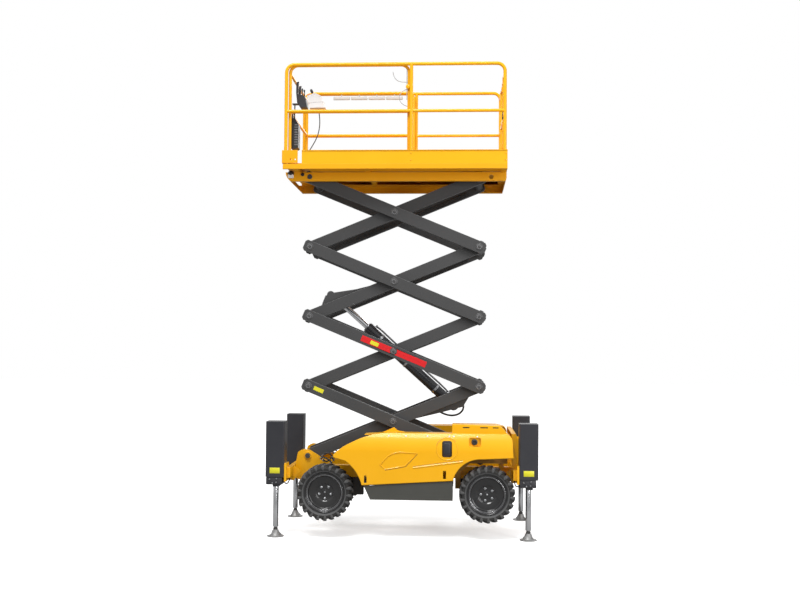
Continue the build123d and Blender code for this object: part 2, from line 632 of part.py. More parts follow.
def build_platform():
    under = DECK_TOP - DECK_PLATE
    left, right = DECK_X
    joist_z = (4335.0, under)
    deck = block((left, right), (-DECK_HALF, DECK_HALF), (under, DECK_TOP))
    deck += block((right - 20.0, right + 11.0), (-785.0, 785.0), joist_z)

    # Channel beams, and end plates that follow their sloping ends.
    beam_outline = [
        (left - 6.0, joist_z[0]),
        (left - 2.0, 4305.0),
        (left + 14.0, 4268.0),
        (left + 50.0, BEAM_Z),
        (right, BEAM_Z),
        (right + 11.0, 4263.0),
        (right + 11.0, joist_z[0]),
    ]
    flange = 10.0
    plate = 6.0
    deck += mirrored(side_plate(beam_outline, BEAM_WEB_Y))
    for z in ((BEAM_Z, BEAM_Z + flange), (joist_z[0] - flange, joist_z[0])):
        deck += mirrored(block((left + 60.0, right), (470.0, BEAM_WEB_Y[1]), z))
    front_edge = [beam_outline[0], beam_outline[1], beam_outline[2], beam_outline[3]]
    rear_edge = [beam_outline[6], beam_outline[5], beam_outline[4]]
    for edge, inward in ((front_edge, plate), (rear_edge, -plate)):
        strip = edge + [(x + inward, z + 3.0) for x, z in reversed(edge)]
        deck += side_plate(strip, (-BEAM_WEB_Y[1], BEAM_WEB_Y[1]))

    # Cross joists, shallow where the arms' upper ends pass beneath: (x, lowest z).
    for x, low in ((left + 112.0, joist_z[0]), (-470.0, joist_z[0]), (90.0, 4377.0), (640.0, 4377.0),
                   (right - 60.0, joist_z[0])):
        deck += block((x, x + 60.0), (-750.0, 750.0), (low, under))
    deck += mirrored(block((left, right), (745.0, 785.0), joist_z))
    deck -= shaft(LEFT_X, TOP_PIVOT_Z, PIN_R + PIN_GAP, (-600.0, 600.0))
    deck -= shaft(1051.0, 4308.0, 26.0, BEAM_WEB_Y) & block((1000.0, 1100.0), BEAM_WEB_Y, (4300.0, 4360.0))
    deck -= shaft(1043.0, 4276.0, 28.0, (-BEAM_WEB_Y[1], -BEAM_WEB_Y[0]))
    save("platform_deck", deck)

    end = right + 11.0
    toe_start = -1214.0
    toe = mirrored(block((toe_start, end), TOE_Y, (under, TOE_TOP)))
    toe += mirrored(block((toe_start, end), (TOE_Y[0], TOE_Y[1] + 8.0), (TOE_TOP - 8.0, TOE_TOP)))
    toe += mirrored(block((right + 4.0, end), (380.0, TOE_Y[1]), (under, TOE_TOP)))
    save("toe_boards", toe)

    post_top = TOP_RAIL_Z
    x0, x1 = -1412.0, 1196.0
    side = bent_tube([(x0, RAIL_Y, DECK_TOP), (x0, RAIL_Y, post_top), (x1, RAIL_Y, post_top), (x1, RAIL_Y, DECK_TOP)],
                     95.0, RAIL_R)
    side += bent_tube([(x0, RAIL_Y, MID_RAIL_Z), (x1, RAIL_Y, MID_RAIL_Z)], 0, 19.0)
    side += bent_tube([(86.0, RAIL_Y, DECK_TOP), (86.0, RAIL_Y, post_top)], 0, RAIL_R)
    rails = mirrored(side)
    end_rail_z = TOP_RAIL_Z - 97.0
    for z in (end_rail_z, MID_RAIL_Z):
        rails += mirrored(bent_tube([(x1, 400.0, z), (x1, RAIL_Y, z)], 0, 16.0))
    gate_post_y = 400.0
    gate_post_r = 19.0
    rails += mirrored(bent_tube([(x1, gate_post_y, DECK_TOP), (x1, gate_post_y, end_rail_z + 20.0)], 0, gate_post_r))
    for z in (4440.0, 4520.0):
        for x in (86.0, x1):
            rails += mirrored(block((x - 12.0, x + 12.0), (RAIL_Y, TOE_Y[0] - 1.0), (z - 9.0, z + 9.0)))
    save("guard_rails", rails)

    # The gate hangs on two sleeves that turn round its post and swings inward over the deck.
    bar_y = 350.0
    gate = Part()
    for z in (end_rail_z, MID_RAIL_Z):
        gate += bent_tube([(x1, -bar_y, z), (x1, bar_y, z)], 0, 14.0)
    for y in (-bar_y, bar_y):
        gate += bent_tube([(x1, y, 4560.0), (x1, y, end_rail_z + 20.0)], 0, 17.0)
    gate += block((x1 - 4.0, x1 + 4.0), (-bar_y, bar_y), (4425.0, 4570.0))
    for z in ((4640.0, 4700.0), (5330.0, 5390.0)):
        gate += post(x1, -gate_post_y, 27.0, z)
        gate += block((x1 - 7.0, x1 + 7.0), (-gate_post_y, -bar_y), (z[0] + 10.0, z[1] - 10.0))
        gate -= post(x1, -gate_post_y, gate_post_r + PIN_GAP, (z[0] - 1.0, z[1] + 1.0))
    save("gate", gate)


def hanging_cable(points, radius):
    """Cable along straight runs joined by the largest tangent arcs that its runs allow."""
    runs = [Vector(*b) - Vector(*a) for a, b in zip(points, points[1:])]
    radii = []
    for before, after in zip(runs, runs[1:]):
        half_turn = radians(before.get_angle(after)) / 2
        radii.append(0.45 * min(before.length, after.length) / tan(half_turn))
    print("cable bends", [round(r) for r in radii])
    path = FilletPolyline(*points, radius=radii)
    section = Plane(origin=path @ 0, z_dir=path % 0) * Circle(radius)
    return sweep(section, path=path)


def build_extension():
    floor_z = (4406.0, 4418.0)
    front = -1452.0
    panel_end = -1262.0
    deck = block((-1430.0, 60.0), (-700.0, 700.0), floor_z)
    deck += block((front, front + 14.0), (-TOE_Y[1], TOE_Y[1]), (floor_z[0], TOE_TOP))
    deck += block((front + 7.0, -1429.0), (-700.0, 700.0), floor_z)
    panel = block((front, panel_end), TOE_Y, (floor_z[0], TOE_TOP))
    for x in (-1348.0, -1292.0):
        panel -= shaft(x, 4449.0, 9.0, (760.0, 790.0))
    deck += mirrored(panel)
    save("extension_deck", deck)

    y = 700.0
    x0, x1 = -1372.0, 55.0
    side = bent_tube([(x0, y, floor_z[1]), (x0, y, TOP_RAIL_Z), (x1, y, TOP_RAIL_Z), (x1, y, floor_z[1])], 95.0, 19.0)
    side += bent_tube([(x0, y, MID_RAIL_Z), (x1, y, MID_RAIL_Z)], 0, 17.0)
    rails = mirrored(side)
    for z in (TOP_RAIL_Z - 100.0, MID_RAIL_Z):
        rails += bent_tube([(x0, -y, z), (x0, y, z)], 0, 17.0)
    save("extension_rails", rails)

    # Control box: a bevelled console behind a dark guard tray that hooks over the middle rail.
    console = side_plate([(-1193.0, 5265.0), (-1096.0, 5301.0), (-1022.0, 5264.0), (-965.0, 5121.0),
                          (-1163.0, 5116.0)], (-560.0, -340.0))
    console = fillet(console.edges().filter_by(Axis.Y), 9.0)
    save("control_box", console)
    tray_y = (-566.0, -334.0)
    tray = side_plate([(-1322.0, 5430.0), (-1289.0, 5439.0), (-1302.0, 5290.0), (-1218.0, 5262.0), (-1188.0, 5123.0),
                       (-1273.0, 5123.0), (-1310.0, 5179.0), (-1324.0, 5300.0)], tray_y)
    tray -= side_plate([(-1330.0, 5500.0), (-1280.0, 5500.0), (-1200.0, 5255.0), (-1316.0, 5310.0)], (-540.0, -360.0))
    tray += block((-1382.0, -1300.0), (-480.0, -420.0), (5180.0, 5192.0))
    tray += block((-1358.0, -1346.0), (-480.0, -420.0), (MID_RAIL_Z - 30.0, 5186.0))
    tray += block((-1400.0, -1346.0), (-480.0, -420.0), (MID_RAIL_Z - 34.0, MID_RAIL_Z + 34.0))
    tray -= shaft(x0, MID_RAIL_Z, 17.0 + PIN_GAP, (-600.0, -300.0))
    save("control_guard", tray)

    folder = side_plate([(-1379.0, 4976.0), (-1318.0, 4970.0), (-1275.0, 4891.0), (-1278.0, 4613.0), (-1320.0, 4595.0),
                         (-1368.0, 4607.0)], (-665.0, -505.0))
    folder = fillet(folder.edges().filter_by(Axis.Y), 8.0)
    folder += block((-1400.0, -1350.0), (-610.0, -570.0), (MID_RAIL_Z - 70.0, MID_RAIL_Z + 30.0))
    folder -= shaft(x0, MID_RAIL_Z, 17.0 + PIN_GAP, (-700.0, -500.0))
    save("document_box", folder)

    # From the console's underside, down in one slack bow and into the deck's edge behind the toe board.
    route = [
        (-1062.0, -450.0, 5116.0),
        (-1046.0, -450.0, 5030.0),
        (-1046.0, -453.0, 4890.0),
        (-1078.0, -462.0, 4765.0),
        (-1146.0, -500.0, 4630.0),
        (-1200.0, -560.0, 4520.0),
        (-1214.0, -598.0, 4424.0),
    ]
    save("control_cable", hanging_cable(route, 6.0))


build_arms()
build_cylinder()
build_chassis()
build_axles()
build_wheels()
build_jacks()
build_body()
build_platform()
build_extension()
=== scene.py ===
import json
from math import cos, hypot, pi, radians, sin, tan

import bmesh
import bpy
from mathutils import Matrix, Vector


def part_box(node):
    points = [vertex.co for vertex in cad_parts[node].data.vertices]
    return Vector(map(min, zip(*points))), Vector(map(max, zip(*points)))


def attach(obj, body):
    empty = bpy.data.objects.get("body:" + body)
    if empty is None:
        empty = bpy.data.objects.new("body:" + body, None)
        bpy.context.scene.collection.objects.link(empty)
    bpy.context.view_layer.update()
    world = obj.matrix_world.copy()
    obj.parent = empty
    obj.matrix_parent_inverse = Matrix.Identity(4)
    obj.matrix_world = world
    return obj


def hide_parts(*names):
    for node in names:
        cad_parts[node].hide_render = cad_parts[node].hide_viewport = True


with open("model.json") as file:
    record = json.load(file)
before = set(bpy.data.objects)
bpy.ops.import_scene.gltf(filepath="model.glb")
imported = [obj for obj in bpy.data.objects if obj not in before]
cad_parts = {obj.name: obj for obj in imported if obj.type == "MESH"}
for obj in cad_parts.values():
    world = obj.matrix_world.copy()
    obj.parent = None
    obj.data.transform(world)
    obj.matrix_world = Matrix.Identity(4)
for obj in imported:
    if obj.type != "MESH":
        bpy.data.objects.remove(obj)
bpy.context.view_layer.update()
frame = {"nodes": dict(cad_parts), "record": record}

nodes = frame["nodes"]


# ----------------------------------------
# Camera: a long lens a little above head height in front of the machine's right side, tipped slightly
# upward, so the far side of the platform shows below the near side.
camera_data = bpy.data.cameras.new("camera")
camera_data.lens = 48.19
camera_data.sensor_width = 36.0
camera_data.clip_end = 200.0
camera = bpy.data.objects.new("camera", camera_data)
bpy.context.scene.collection.objects.link(camera)
camera_place = (0.675, -13.339, 2.179)
camera_pan = radians(3.215)
camera_tilt = radians(90.0 + 2.729)
camera_roll = radians(0.413)
camera.matrix_world = (
    Matrix.Translation(camera_place)
    @ Matrix.Rotation(camera_pan, 4, "Z")
    @ Matrix.Rotation(camera_tilt, 4, "X")
    @ Matrix.Rotation(camera_roll, 4, "Z")
)
bpy.context.scene.camera = camera
bpy.context.scene.view_settings.view_transform = "Standard"


# ----------------------------------------
# Control lead: a rubber-sheathed cable, 12 mm thick, from under the control console in one slack bow down
# to the deck's edge. A tapered rubber sleeve guards it where it leaves the console.
def new_group(name, inputs, outputs):
    group = bpy.data.node_groups.new(name, "ShaderNodeTree")
    for label, kind, value in inputs:
        socket = group.interface.new_socket(label, in_out="INPUT", socket_type=kind)
        socket.default_value = value
    for label, kind in outputs:
        group.interface.new_socket(label, in_out="OUTPUT", socket_type=kind)
    return group, group.nodes.new("NodeGroupInput"), group.nodes.new("NodeGroupOutput")


def feed(tree, value, socket):
    if isinstance(value, (int, float)):
        socket.default_value = value
    elif isinstance(value, tuple):
        socket.default_value = (*value, 1.0)
    elif value is not None:
        tree.links.new(value, socket)


def math_node(tree, operation, a, b=None, clamp=False):
    node = tree.nodes.new("ShaderNodeMath")
    node.operation = operation
    node.use_clamp = clamp
    feed(tree, a, node.inputs[0])
    feed(tree, b, node.inputs[1])
    return node.outputs[0]


def mix_colour(tree, factor, a, b):
    node = tree.nodes.new("ShaderNodeMix")
    node.data_type = "RGBA"
    feed(tree, factor, node.inputs[0])
    feed(tree, a, node.inputs[6])
    feed(tree, b, node.inputs[7])
    return node.outputs[2]


edges_group, edges_in, edges_out = new_group(
    "soft_edges",
    [("Radius", "NodeSocketFloat", 0.004)],
    [("Normal", "NodeSocketVector"), ("Edge", "NodeSocketFloat")])
bevel = edges_group.nodes.new("ShaderNodeBevel")
bevel.samples = 4
geometry = edges_group.nodes.new("ShaderNodeNewGeometry")
alignment = edges_group.nodes.new("ShaderNodeVectorMath")
alignment.operation = "DOT_PRODUCT"
edge_gain = 6.0
feed(edges_group, edges_in.outputs["Radius"], bevel.inputs["Radius"])
feed(edges_group, bevel.outputs[0], alignment.inputs[0])
feed(edges_group, geometry.outputs["Normal"], alignment.inputs[1])
sharpness = math_node(edges_group, "SUBTRACT", 1.0, alignment.outputs["Value"], clamp=True)
edge_mask = math_node(edges_group, "MULTIPLY", sharpness, edge_gain, clamp=True)
feed(edges_group, edge_mask, edges_out.inputs["Edge"])
feed(edges_group, bevel.outputs[0], edges_out.inputs["Normal"])

dust_group, dust_in, dust_out = new_group(
    "settled_dust",
    [("Scale", "NodeSocketFloat", 3.0), ("Amount", "NodeSocketFloat", 0.2), ("Low", "NodeSocketFloat", 0.2)],
    [("Mask", "NodeSocketFloat"), ("Mottle", "NodeSocketFloat")])
place_node = dust_group.nodes.new("ShaderNodeTexCoord")
patches = dust_group.nodes.new("ShaderNodeTexNoise")
patches.inputs["Detail"].default_value = 6.0
patches.inputs["Roughness"].default_value = 0.62
height_split = dust_group.nodes.new("ShaderNodeSeparateXYZ")
feed(dust_group, place_node.outputs["Object"], patches.inputs["Vector"])
feed(dust_group, dust_in.outputs["Scale"], patches.inputs["Scale"])
feed(dust_group, place_node.outputs["Object"], height_split.inputs[0])
nearness = math_node(dust_group, "SUBTRACT", 1.0, height_split.outputs["Z"], clamp=True)
low_part = math_node(dust_group, "MULTIPLY", nearness, dust_in.outputs["Low"])
dust_share = math_node(dust_group, "ADD", dust_in.outputs["Amount"], low_part)
dust_mask = math_node(dust_group, "MULTIPLY", patches.outputs["Fac"], dust_share)
feed(dust_group, dust_mask, dust_out.inputs["Mask"])
feed(dust_group, patches.outputs["Fac"], dust_out.inputs["Mottle"])


def place_group(tree, group, **values):
    node = tree.nodes.new("ShaderNodeGroup")
    node.node_tree = group
    for label, value in values.items():
        node.inputs[label.capitalize()].default_value = value
    return node


def finish_material(name, colour, roughness, edge=0.004, rubbed_and_sheen_share=0.15, rubbed_and_sheen_colour=(0.5, 0.5, 0.5), dust=0.02,
                    low_dust=0.0, dusty=(0.45, 0.42, 0.38), grain=900.0, grain_depth=0.05, metallic=0.0,
                    coat=0.0, coat_roughness=0.1, dust_scale=3.0, specular=0.5):
    """A coated or bare surface: base colour, fine grain, paler soft edges as rubbed paint and, on the arms,
    as a painted highlight, settled dust.
    """
    material = bpy.data.materials.new(name)
    material.use_nodes = True
    tree = material.node_tree
    shader = tree.nodes["Principled BSDF"]
    dusting = place_group(tree, dust_group, scale=dust_scale, amount=dust, low=low_dust)
    edging = place_group(tree, edges_group, radius=edge)
    coordinates = tree.nodes.new("ShaderNodeTexCoord")
    fine = tree.nodes.new("ShaderNodeTexNoise")
    fine.inputs["Scale"].default_value = grain
    fine.inputs["Detail"].default_value = 2.0
    feed(tree, coordinates.outputs["Object"], fine.inputs["Vector"])
    darker = tuple(c * 0.9 for c in colour)
    tone = mix_colour(tree, dusting.outputs["Mottle"], darker, colour)
    rubbed_and_sheen_mask = math_node(tree, "MULTIPLY", edging.outputs["Edge"], rubbed_and_sheen_share, clamp=True)
    edged = mix_colour(tree, rubbed_and_sheen_mask, tone, rubbed_and_sheen_colour)
    dusted = mix_colour(tree, dusting.outputs["Mask"], edged, dusty)
    feed(tree, dusted, shader.inputs["Base Color"])
    dust_dulling = 0.6
    spread = math_node(tree, "MULTIPLY", dusting.outputs["Mask"], dust_dulling)
    feed(tree, math_node(tree, "ADD", spread, roughness, clamp=True), shader.inputs["Roughness"])
    bump = tree.nodes.new("ShaderNodeBump")
    bump.inputs["Strength"].default_value = grain_depth
    bump.inputs["Distance"].default_value = 0.001
    feed(tree, fine.outputs["Fac"], bump.inputs["Height"])
    feed(tree, edging.outputs["Normal"], bump.inputs["Normal"])
    feed(tree, bump.outputs[0], shader.inputs["Normal"])
    for label, value in (("Metallic", metallic), ("Coat Weight", coat), ("Coat Roughness", coat_roughness),
                         ("Specular IOR Level", specular)):
        shader.inputs[label].default_value = value
    return material


def add_object(name, data):
    item = bpy.data.objects.new(name, data)
    bpy.context.scene.collection.objects.link(item)
    return item


def turned(direction):
    """Rotation that turns a piece's own +Z to a direction."""
    return Vector(direction).to_track_quat("Z", "Y").to_matrix().to_4x4()


def seated(point, direction):
    """A place with its origin at a point and its own +Z along a direction."""
    return Matrix.Translation(point) @ turned(direction)


def add_lathe(shape, profile, place, steps=24):
    """Adds a body of revolution about the place's Z axis, from (radius, height) points."""
    rings = []
    for radius, height in profile:
        count = steps if radius > 1e-5 else 1
        turns = [2.0 * pi * k / steps for k in range(count)]
        circle = [Vector((radius * cos(t), radius * sin(t), height)) for t in turns]
        rings.append([shape.verts.new(place @ point) for point in circle])
    for low, high in zip(rings, rings[1:]):
        for k in range(steps):
            after = (k + 1) % steps
            corners = [low[k % len(low)], low[after % len(low)], high[after % len(high)], high[k % len(high)]]
            corners = tuple(dict.fromkeys(corners))
            if len(corners) > 2:
                shape.faces.new(corners)


def as_piece(name, shape, look, body, crease=35.0):
    mesh = bpy.data.meshes.new(name)
    bmesh.ops.recalc_face_normals(shape, faces=shape.faces)
    shape.to_mesh(mesh)
    shape.free()
    mesh.polygons.foreach_set("use_smooth", [True] * len(mesh.polygons))
    mesh.set_sharp_from_angle(angle=radians(crease))
    mesh.materials.append(look)
    piece = add_object(name, mesh)
    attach(piece, body)
    return piece


def lathe_piece(name, profile, place, steps, look, body):
    shape = bmesh.new()
    add_lathe(shape, profile, place, steps)
    return as_piece(name, shape, look, body)


def line_curve(name, routes, radius, look):
    """Round tubes along smooth NURBS lines, all of one thickness."""
    data = bpy.data.curves.new(name, "CURVE")
    data.dimensions = "3D"
    data.bevel_depth = radius
    data.bevel_resolution = 3
    data.use_fill_caps = True
    for route in routes:
        line = data.splines.new("NURBS")
        line.points.add(len(route) - 1)
        for point, place in zip(line.points, route):
            point.co = (*place, 1.0)
        line.order_u = 3
        line.use_endpoint_u = True
        line.resolution_u = 10
    data.materials.append(look)
    return add_object(name, data)


lead_radius = 0.006
lead_route = [
    (-1.062, -0.45, 5.116),
    (-1.046, -0.45, 5.03),
    (-1.046, -0.453, 4.89),
    (-1.078, -0.462, 4.765),
    (-1.146, -0.5, 4.63),
    (-1.2, -0.56, 4.52),
    (-1.214, -0.598, 4.424),
]
black_rubber = finish_material("black_rubber", (0.02, 0.02, 0.021), 0.55, dust=0.08, grain=400.0)
control_lead = line_curve("control_lead", [lead_route], lead_radius, black_rubber)
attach(control_lead, "extension")
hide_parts("control_cable")

sleeve_profile = [(0.0, -0.002), (0.013, -0.002), (0.013, 0.006)]
sleeve_rings = 4
for k in range(sleeve_rings):
    ring_radius = 0.0115 - 0.0012 * k
    ring_start = 0.008 + 0.01 * k
    sleeve_profile += [(ring_radius, ring_start), (ring_radius, ring_start + 0.006),
                       (0.0072, ring_start + 0.008)]
sleeve_profile.append((0.0061, 0.05))
lead_start = Vector(lead_route[0])
lead_sleeve = lathe_piece("control_lead_sleeve", sleeve_profile,
                          seated(lead_start, Vector(lead_route[1]) - lead_start), 24,
                          black_rubber, "extension")


# ----------------------------------------
# Studio: a plain pale floor and a white surround that is bright overhead and dim from below, with a broad
# soft lamp above the machine and two weaker ones beside it, so undersides fall dark.
floor_half = 60.0
floor_mesh = bpy.data.meshes.new("studio_floor")
floor_corners = [(floor_half * x, floor_half * y, 0.0) for x, y in ((-1, -1), (1, -1), (1, 1), (-1, 1))]
floor_mesh.from_pydata(floor_corners, [], [(0, 1, 2, 3)])
floor = add_object("studio_floor", floor_mesh)
floor_look = bpy.data.materials.new("studio_floor")
floor_look.use_nodes = True
floor_tree = floor_look.node_tree
floor_shader = floor_tree.nodes["Principled BSDF"]
floor_shader.inputs["Roughness"].default_value = 0.9
floor_shader.inputs["Specular IOR Level"].default_value = 0.1
floor_seen = (0.97, 0.97, 0.97)
floor_bounce = (0.3, 0.3, 0.3)
floor_glow = 0.45
floor_ray = floor_tree.nodes.new("ShaderNodeLightPath").outputs["Is Camera Ray"]
floor_shader.inputs["Emission Color"].default_value = (1.0, 1.0, 1.0, 1.0)
floor_strength = math_node(floor_tree, "MULTIPLY", floor_ray, floor_glow)
feed(floor_tree, floor_strength, floor_shader.inputs["Emission Strength"])
floor_colour = mix_colour(floor_tree, floor_ray, floor_bounce, floor_seen)
feed(floor_tree, floor_colour, floor_shader.inputs["Base Color"])
floor_mesh.materials.append(floor_look)

surround = bpy.data.worlds.new("surround")
surround.use_nodes = True
sky = surround.node_tree
backdrop = sky.nodes["Background"]
sky_direction = sky.nodes.new("ShaderNodeTexCoord").outputs["Generated"]
sky_split = sky.nodes.new("ShaderNodeSeparateXYZ")
feed(sky, sky_direction, sky_split.inputs[0])
sky_low, sky_high = 0.3, 0.72
rise_share = math_node(sky, "MULTIPLY_ADD", sky_split.outputs["Z"], 1.2)
rise_share.node.inputs[2].default_value = 0.35
rise_share.node.use_clamp = True
sky_strength = math_node(sky, "MULTIPLY", rise_share, sky_high - sky_low)
sky_strength = math_node(sky, "ADD", sky_strength, sky_low)
sky_ray = sky.nodes.new("ShaderNodeLightPath").outputs["Is Camera Ray"]
sky_strength = math_node(sky, "MAXIMUM", sky_strength, sky_ray)
backdrop.inputs["Color"].default_value = (1.0, 1.0, 1.0, 1.0)
feed(sky, sky_strength, backdrop.inputs["Strength"])
bpy.context.scene.world = surround


def soft_light(name, place, aim, size, watts):
    lamp_data = bpy.data.lights.new(name, "AREA")
    lamp_data.shape = "RECTANGLE"
    lamp_data.size, lamp_data.size_y = size
    lamp_data.energy = watts
    lamp = add_object(name, lamp_data)
    direction = Vector(aim) - Vector(place)
    lamp.location = place
    lamp.rotation_euler = direction.to_track_quat("-Z", "Y").to_euler()


soft_light("key_light", (-3.0, -9.0, 17.0), (0.0, 0.0, 2.4), (8.0, 6.0), 2300.0)
soft_light("fill_light", (8.0, -10.0, 4.5), (0.0, 0.0, 2.0), (2.5, 6.0), 560.0)
soft_light("back_light", (2.0, 9.0, 8.0), (0.0, 0.0, 2.6), (6.0, 4.0), 300.0)


# ----------------------------------------
# Scissor arms: rectangular steel tubes in satin dark grey paint, four crossed pairs a side on greased
# pins. Each pin ends in a cap painted like the arm, with a screw in its middle, inside a thin grey
# washer.
joints = {joint["name"]: joint for joint in frame["record"]["behaviour"]["joints"]}


def dress(material, *names):
    for name in names:
        item = nodes[name]
        item.data.materials.clear()
        item.data.materials.append(material)


# The arms' paler edges are partly rubbed paint and partly a painted highlight along the tube corners.
arm_grey = finish_material("arm_grey_paint", (0.06, 0.06, 0.061), 0.5, edge=0.01, rubbed_and_sheen_share=0.55,
                           rubbed_and_sheen_colour=(0.3, 0.3, 0.31), grain=500.0, specular=0.3)
washer_grey = finish_material("washer_grey", (0.2, 0.2, 0.205), 0.4)
dress(arm_grey, *(f"{row}_arm_{stage}" for row in ("inner", "outer") for stage in range(1, 5)))

first_pin = Vector(joints["lift"]["pos_m"])
half_arm = Vector(joints["cross_1"]["pos_m"]) - first_pin
pin_cap = [(0.0, 0.007), (0.007, 0.007), (0.007, 0.01), (0.0095, 0.01), (0.0095, 0.006), (0.019, 0.006),
           (0.022, 0.003), (0.022, 0.0), (0.0, 0.0)]
pin_washer = [(0.0215, 0.0), (0.0275, 0.0), (0.0285, 0.0015), (0.0285, 0.004), (0.0265, 0.0055),
              (0.0215, 0.004)]
pin_face = 0.466


def add_pin_end(caps, washers, x, z, y):
    place = seated((x, y, z), (0.0, y, 0.0))
    add_lathe(caps, pin_cap, place, 20)
    add_lathe(washers, pin_washer, place, 28)


for stage in range(1, 5):
    floor_z = first_pin.z + 2.0 * half_arm.z * (stage - 1)
    caps, washers = bmesh.new(), bmesh.new()
    for side in (-1, 1):
        add_pin_end(caps, washers, first_pin.x + half_arm.x, floor_z + half_arm.z, side * pin_face)
        if stage > 1:
            add_pin_end(caps, washers, first_pin.x + 2.0 * half_arm.x, floor_z, side * pin_face)
        if stage < 4:
            add_pin_end(caps, washers, first_pin.x, floor_z + 2.0 * half_arm.z, side * pin_face)
    as_piece(f"pin_caps_{stage}", caps, arm_grey, f"outer_arm_{stage}")
    as_piece(f"pin_washers_{stage}", washers, washer_grey, f"outer_arm_{stage}")


# ----------------------------------------
# Dress of the arms: a red safety band painted on both faces of one arm pair at its cross pin, and blank
# yellow plates stuck beside the pins.
def add_skin(shape, rings, closed=False):
    """Joins rings of vertices one to the next, and caps both ends unless the run is closed."""
    count = len(rings[0])
    for low, high in zip(rings, rings[1:] + (rings[:1] if closed else [])):
        for k in range(count):
            after = (k + 1) % count
            shape.faces.new((low[k], low[after], high[after], high[k]))
    if not closed:
        shape.faces.new(rings[0])
        shape.faces.new(list(reversed(rings[-1])))


def add_plate(shape, outline, ys):
    """Adds a flat plate from an outline of (x, z) points, between two values of y."""
    add_skin(shape, [[shape.verts.new((x, y, z)) for x, z in outline] for y in ys])


red_band_paint = finish_material("red_band_paint", (0.72, 0.016, 0.02), 0.5, dust=0.01, specular=0.25)
label_yellow = finish_material("label_yellow", (0.78, 0.72, 0.02), 0.4)

band_pin = first_pin + Vector((half_arm.x, 0.0, 3.0 * half_arm.z))
arm_slope = Vector((half_arm.x, 0.0, -half_arm.z)).normalized()
arm_up = Vector((half_arm.z, 0.0, half_arm.x)).normalized()
band_reach, band_half, band_lift, band_hole = (-0.42, 0.423), 0.037, 0.0012, 0.043
arm_face = 0.46
sunk = 0.001      # how far a plate or band reaches into the arm's face


def along_arm(pin, run, up):
    point = pin + arm_slope * run + arm_up * up
    return (point.x, point.z)


def ring_hole_band(shape, y, hole):
    """A painted band with a round gap for the pin, as two halves above and below it."""
    steps = 16
    for upper in (1.0, -1.0):
        rim = [along_arm(band_pin, -hole * cos(pi * k / steps), upper * hole * sin(pi * k / steps))
               for k in range(steps + 1)]
        start, end = band_reach
        edge = [(end, 0.0), (end, upper * band_half), (start, upper * band_half)]
        outline = [along_arm(band_pin, start, 0.0)] + rim + [along_arm(band_pin, run, up) for run, up in edge]
        add_plate(shape, outline, y)


band = bmesh.new()
for side in (-1, 1):
    ring_hole_band(band, (side * (arm_face - sunk), side * (arm_face + band_lift)), band_hole)
as_piece("red_band", band, red_band_paint, "outer_arm_2")

for name, arm, pin, runs, ups, lift in (
        ("band_plates", "outer_arm_2", band_pin, (-0.3, -0.195), (0.02, -0.026), 0.0022),
        ("arm_plates", "outer_arm_1", first_pin + half_arm, (-1.038, -0.912), (0.026, -0.022), 0.0015)):
    plates = bmesh.new()
    corners = [(runs[0], ups[0]), (runs[1], ups[0]), (runs[1], ups[1]), (runs[0], ups[1])]
    for side in (-1, 1):
        layer = (side * (arm_face - sunk), side * (arm_face + lift))
        add_plate(plates, [along_arm(pin, run, up) for run, up in corners], layer)
    as_piece(name, plates, label_yellow, arm)


# ----------------------------------------
# Arm hoses: black rubber hydraulic hoses. Three lie side by side along the inside of each left inner arm
# and end near its pins, and one thicker hose droops between the arms of the first stage.
def hoses(name, routes, radius, look, body):
    piece = line_curve(name, routes, radius, look)
    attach(piece, body)
    return piece


def arm_point(stage, run, up, y):
    """A point beside an inner arm: run along it from its lower pin, up across it."""
    base = first_pin + Vector((0.0, 0.0, 2.0 * half_arm.z * (stage - 1)))
    slope = Vector((half_arm.x, 0.0, half_arm.z)).normalized()
    across = Vector((-slope.z, 0.0, slope.x))
    point = base + slope * run + across * up
    return (point.x, y, point.z)


hose_black = finish_material("hose_black", (0.017, 0.017, 0.018), 0.5, dust=0.06, grain=300.0)
# On arms 1 to 3 they pass outside the cylinder's cross tubes, on arm 4 inside the rod gusset folded
# beside it.
for stage, loom_depth in ((1, 0.2985), (2, 0.2985), (3, 0.2985), (4, 0.279)):
    loom = []
    for lane in (-0.018, 0.0, 0.018):
        loom.append([arm_point(stage, run, -0.04 + lane + 0.01 * sin(3.0 * run), loom_depth)
                     for run in (0.16, 0.5, 0.85, 1.2, 1.55, 1.9, 2.06)])
    hoses(f"loom_{stage}", loom, 0.0085, hose_black, f"inner_arm_{stage}")
droop = ((0.34, 1.56), (0.39, 1.47), (0.48, 1.415), (0.59, 1.392), (0.69, 1.425), (0.735, 1.51),
         (0.704, 1.588))
hoses("drooping_hose", [[(x, -0.2, z) for x, z in droop]], 0.012, hose_black, "inner_arm_1")


# ----------------------------------------
# Lift cylinder: a black-painted barrel with a chromed rod. A steel oil pipe runs along the barrel's top,
# between two hex unions, and three clamp bands go round the barrel.
cylinder_black = finish_material("cylinder_black", (0.016, 0.017, 0.022), 0.3, coat=0.3, dust=0.03)
hard_chrome = finish_material("hard_chrome", (0.78, 0.79, 0.81), 0.1, metallic=1.0, dust=0.015, low_dust=0.03,
                              grain=2000.0, grain_depth=0.02, rubbed_and_sheen_share=0.0)
dress(cylinder_black, "cylinder_barrel")
dress(hard_chrome, "cylinder_rod")
barrel_foot = Vector(joints["cylinder_base"]["pos_m"])
rod_way = Vector(joints["cylinder_stroke"]["axis"]).normalized()
barrel_up = Vector((-rod_way.z, 0.0, rod_way.x))
if barrel_up.z < 0.0:
    barrel_up = -barrel_up


def on_barrel(run, up, y=0.0):
    point = barrel_foot + rod_way * run + barrel_up * up
    return (point.x, y, point.z)


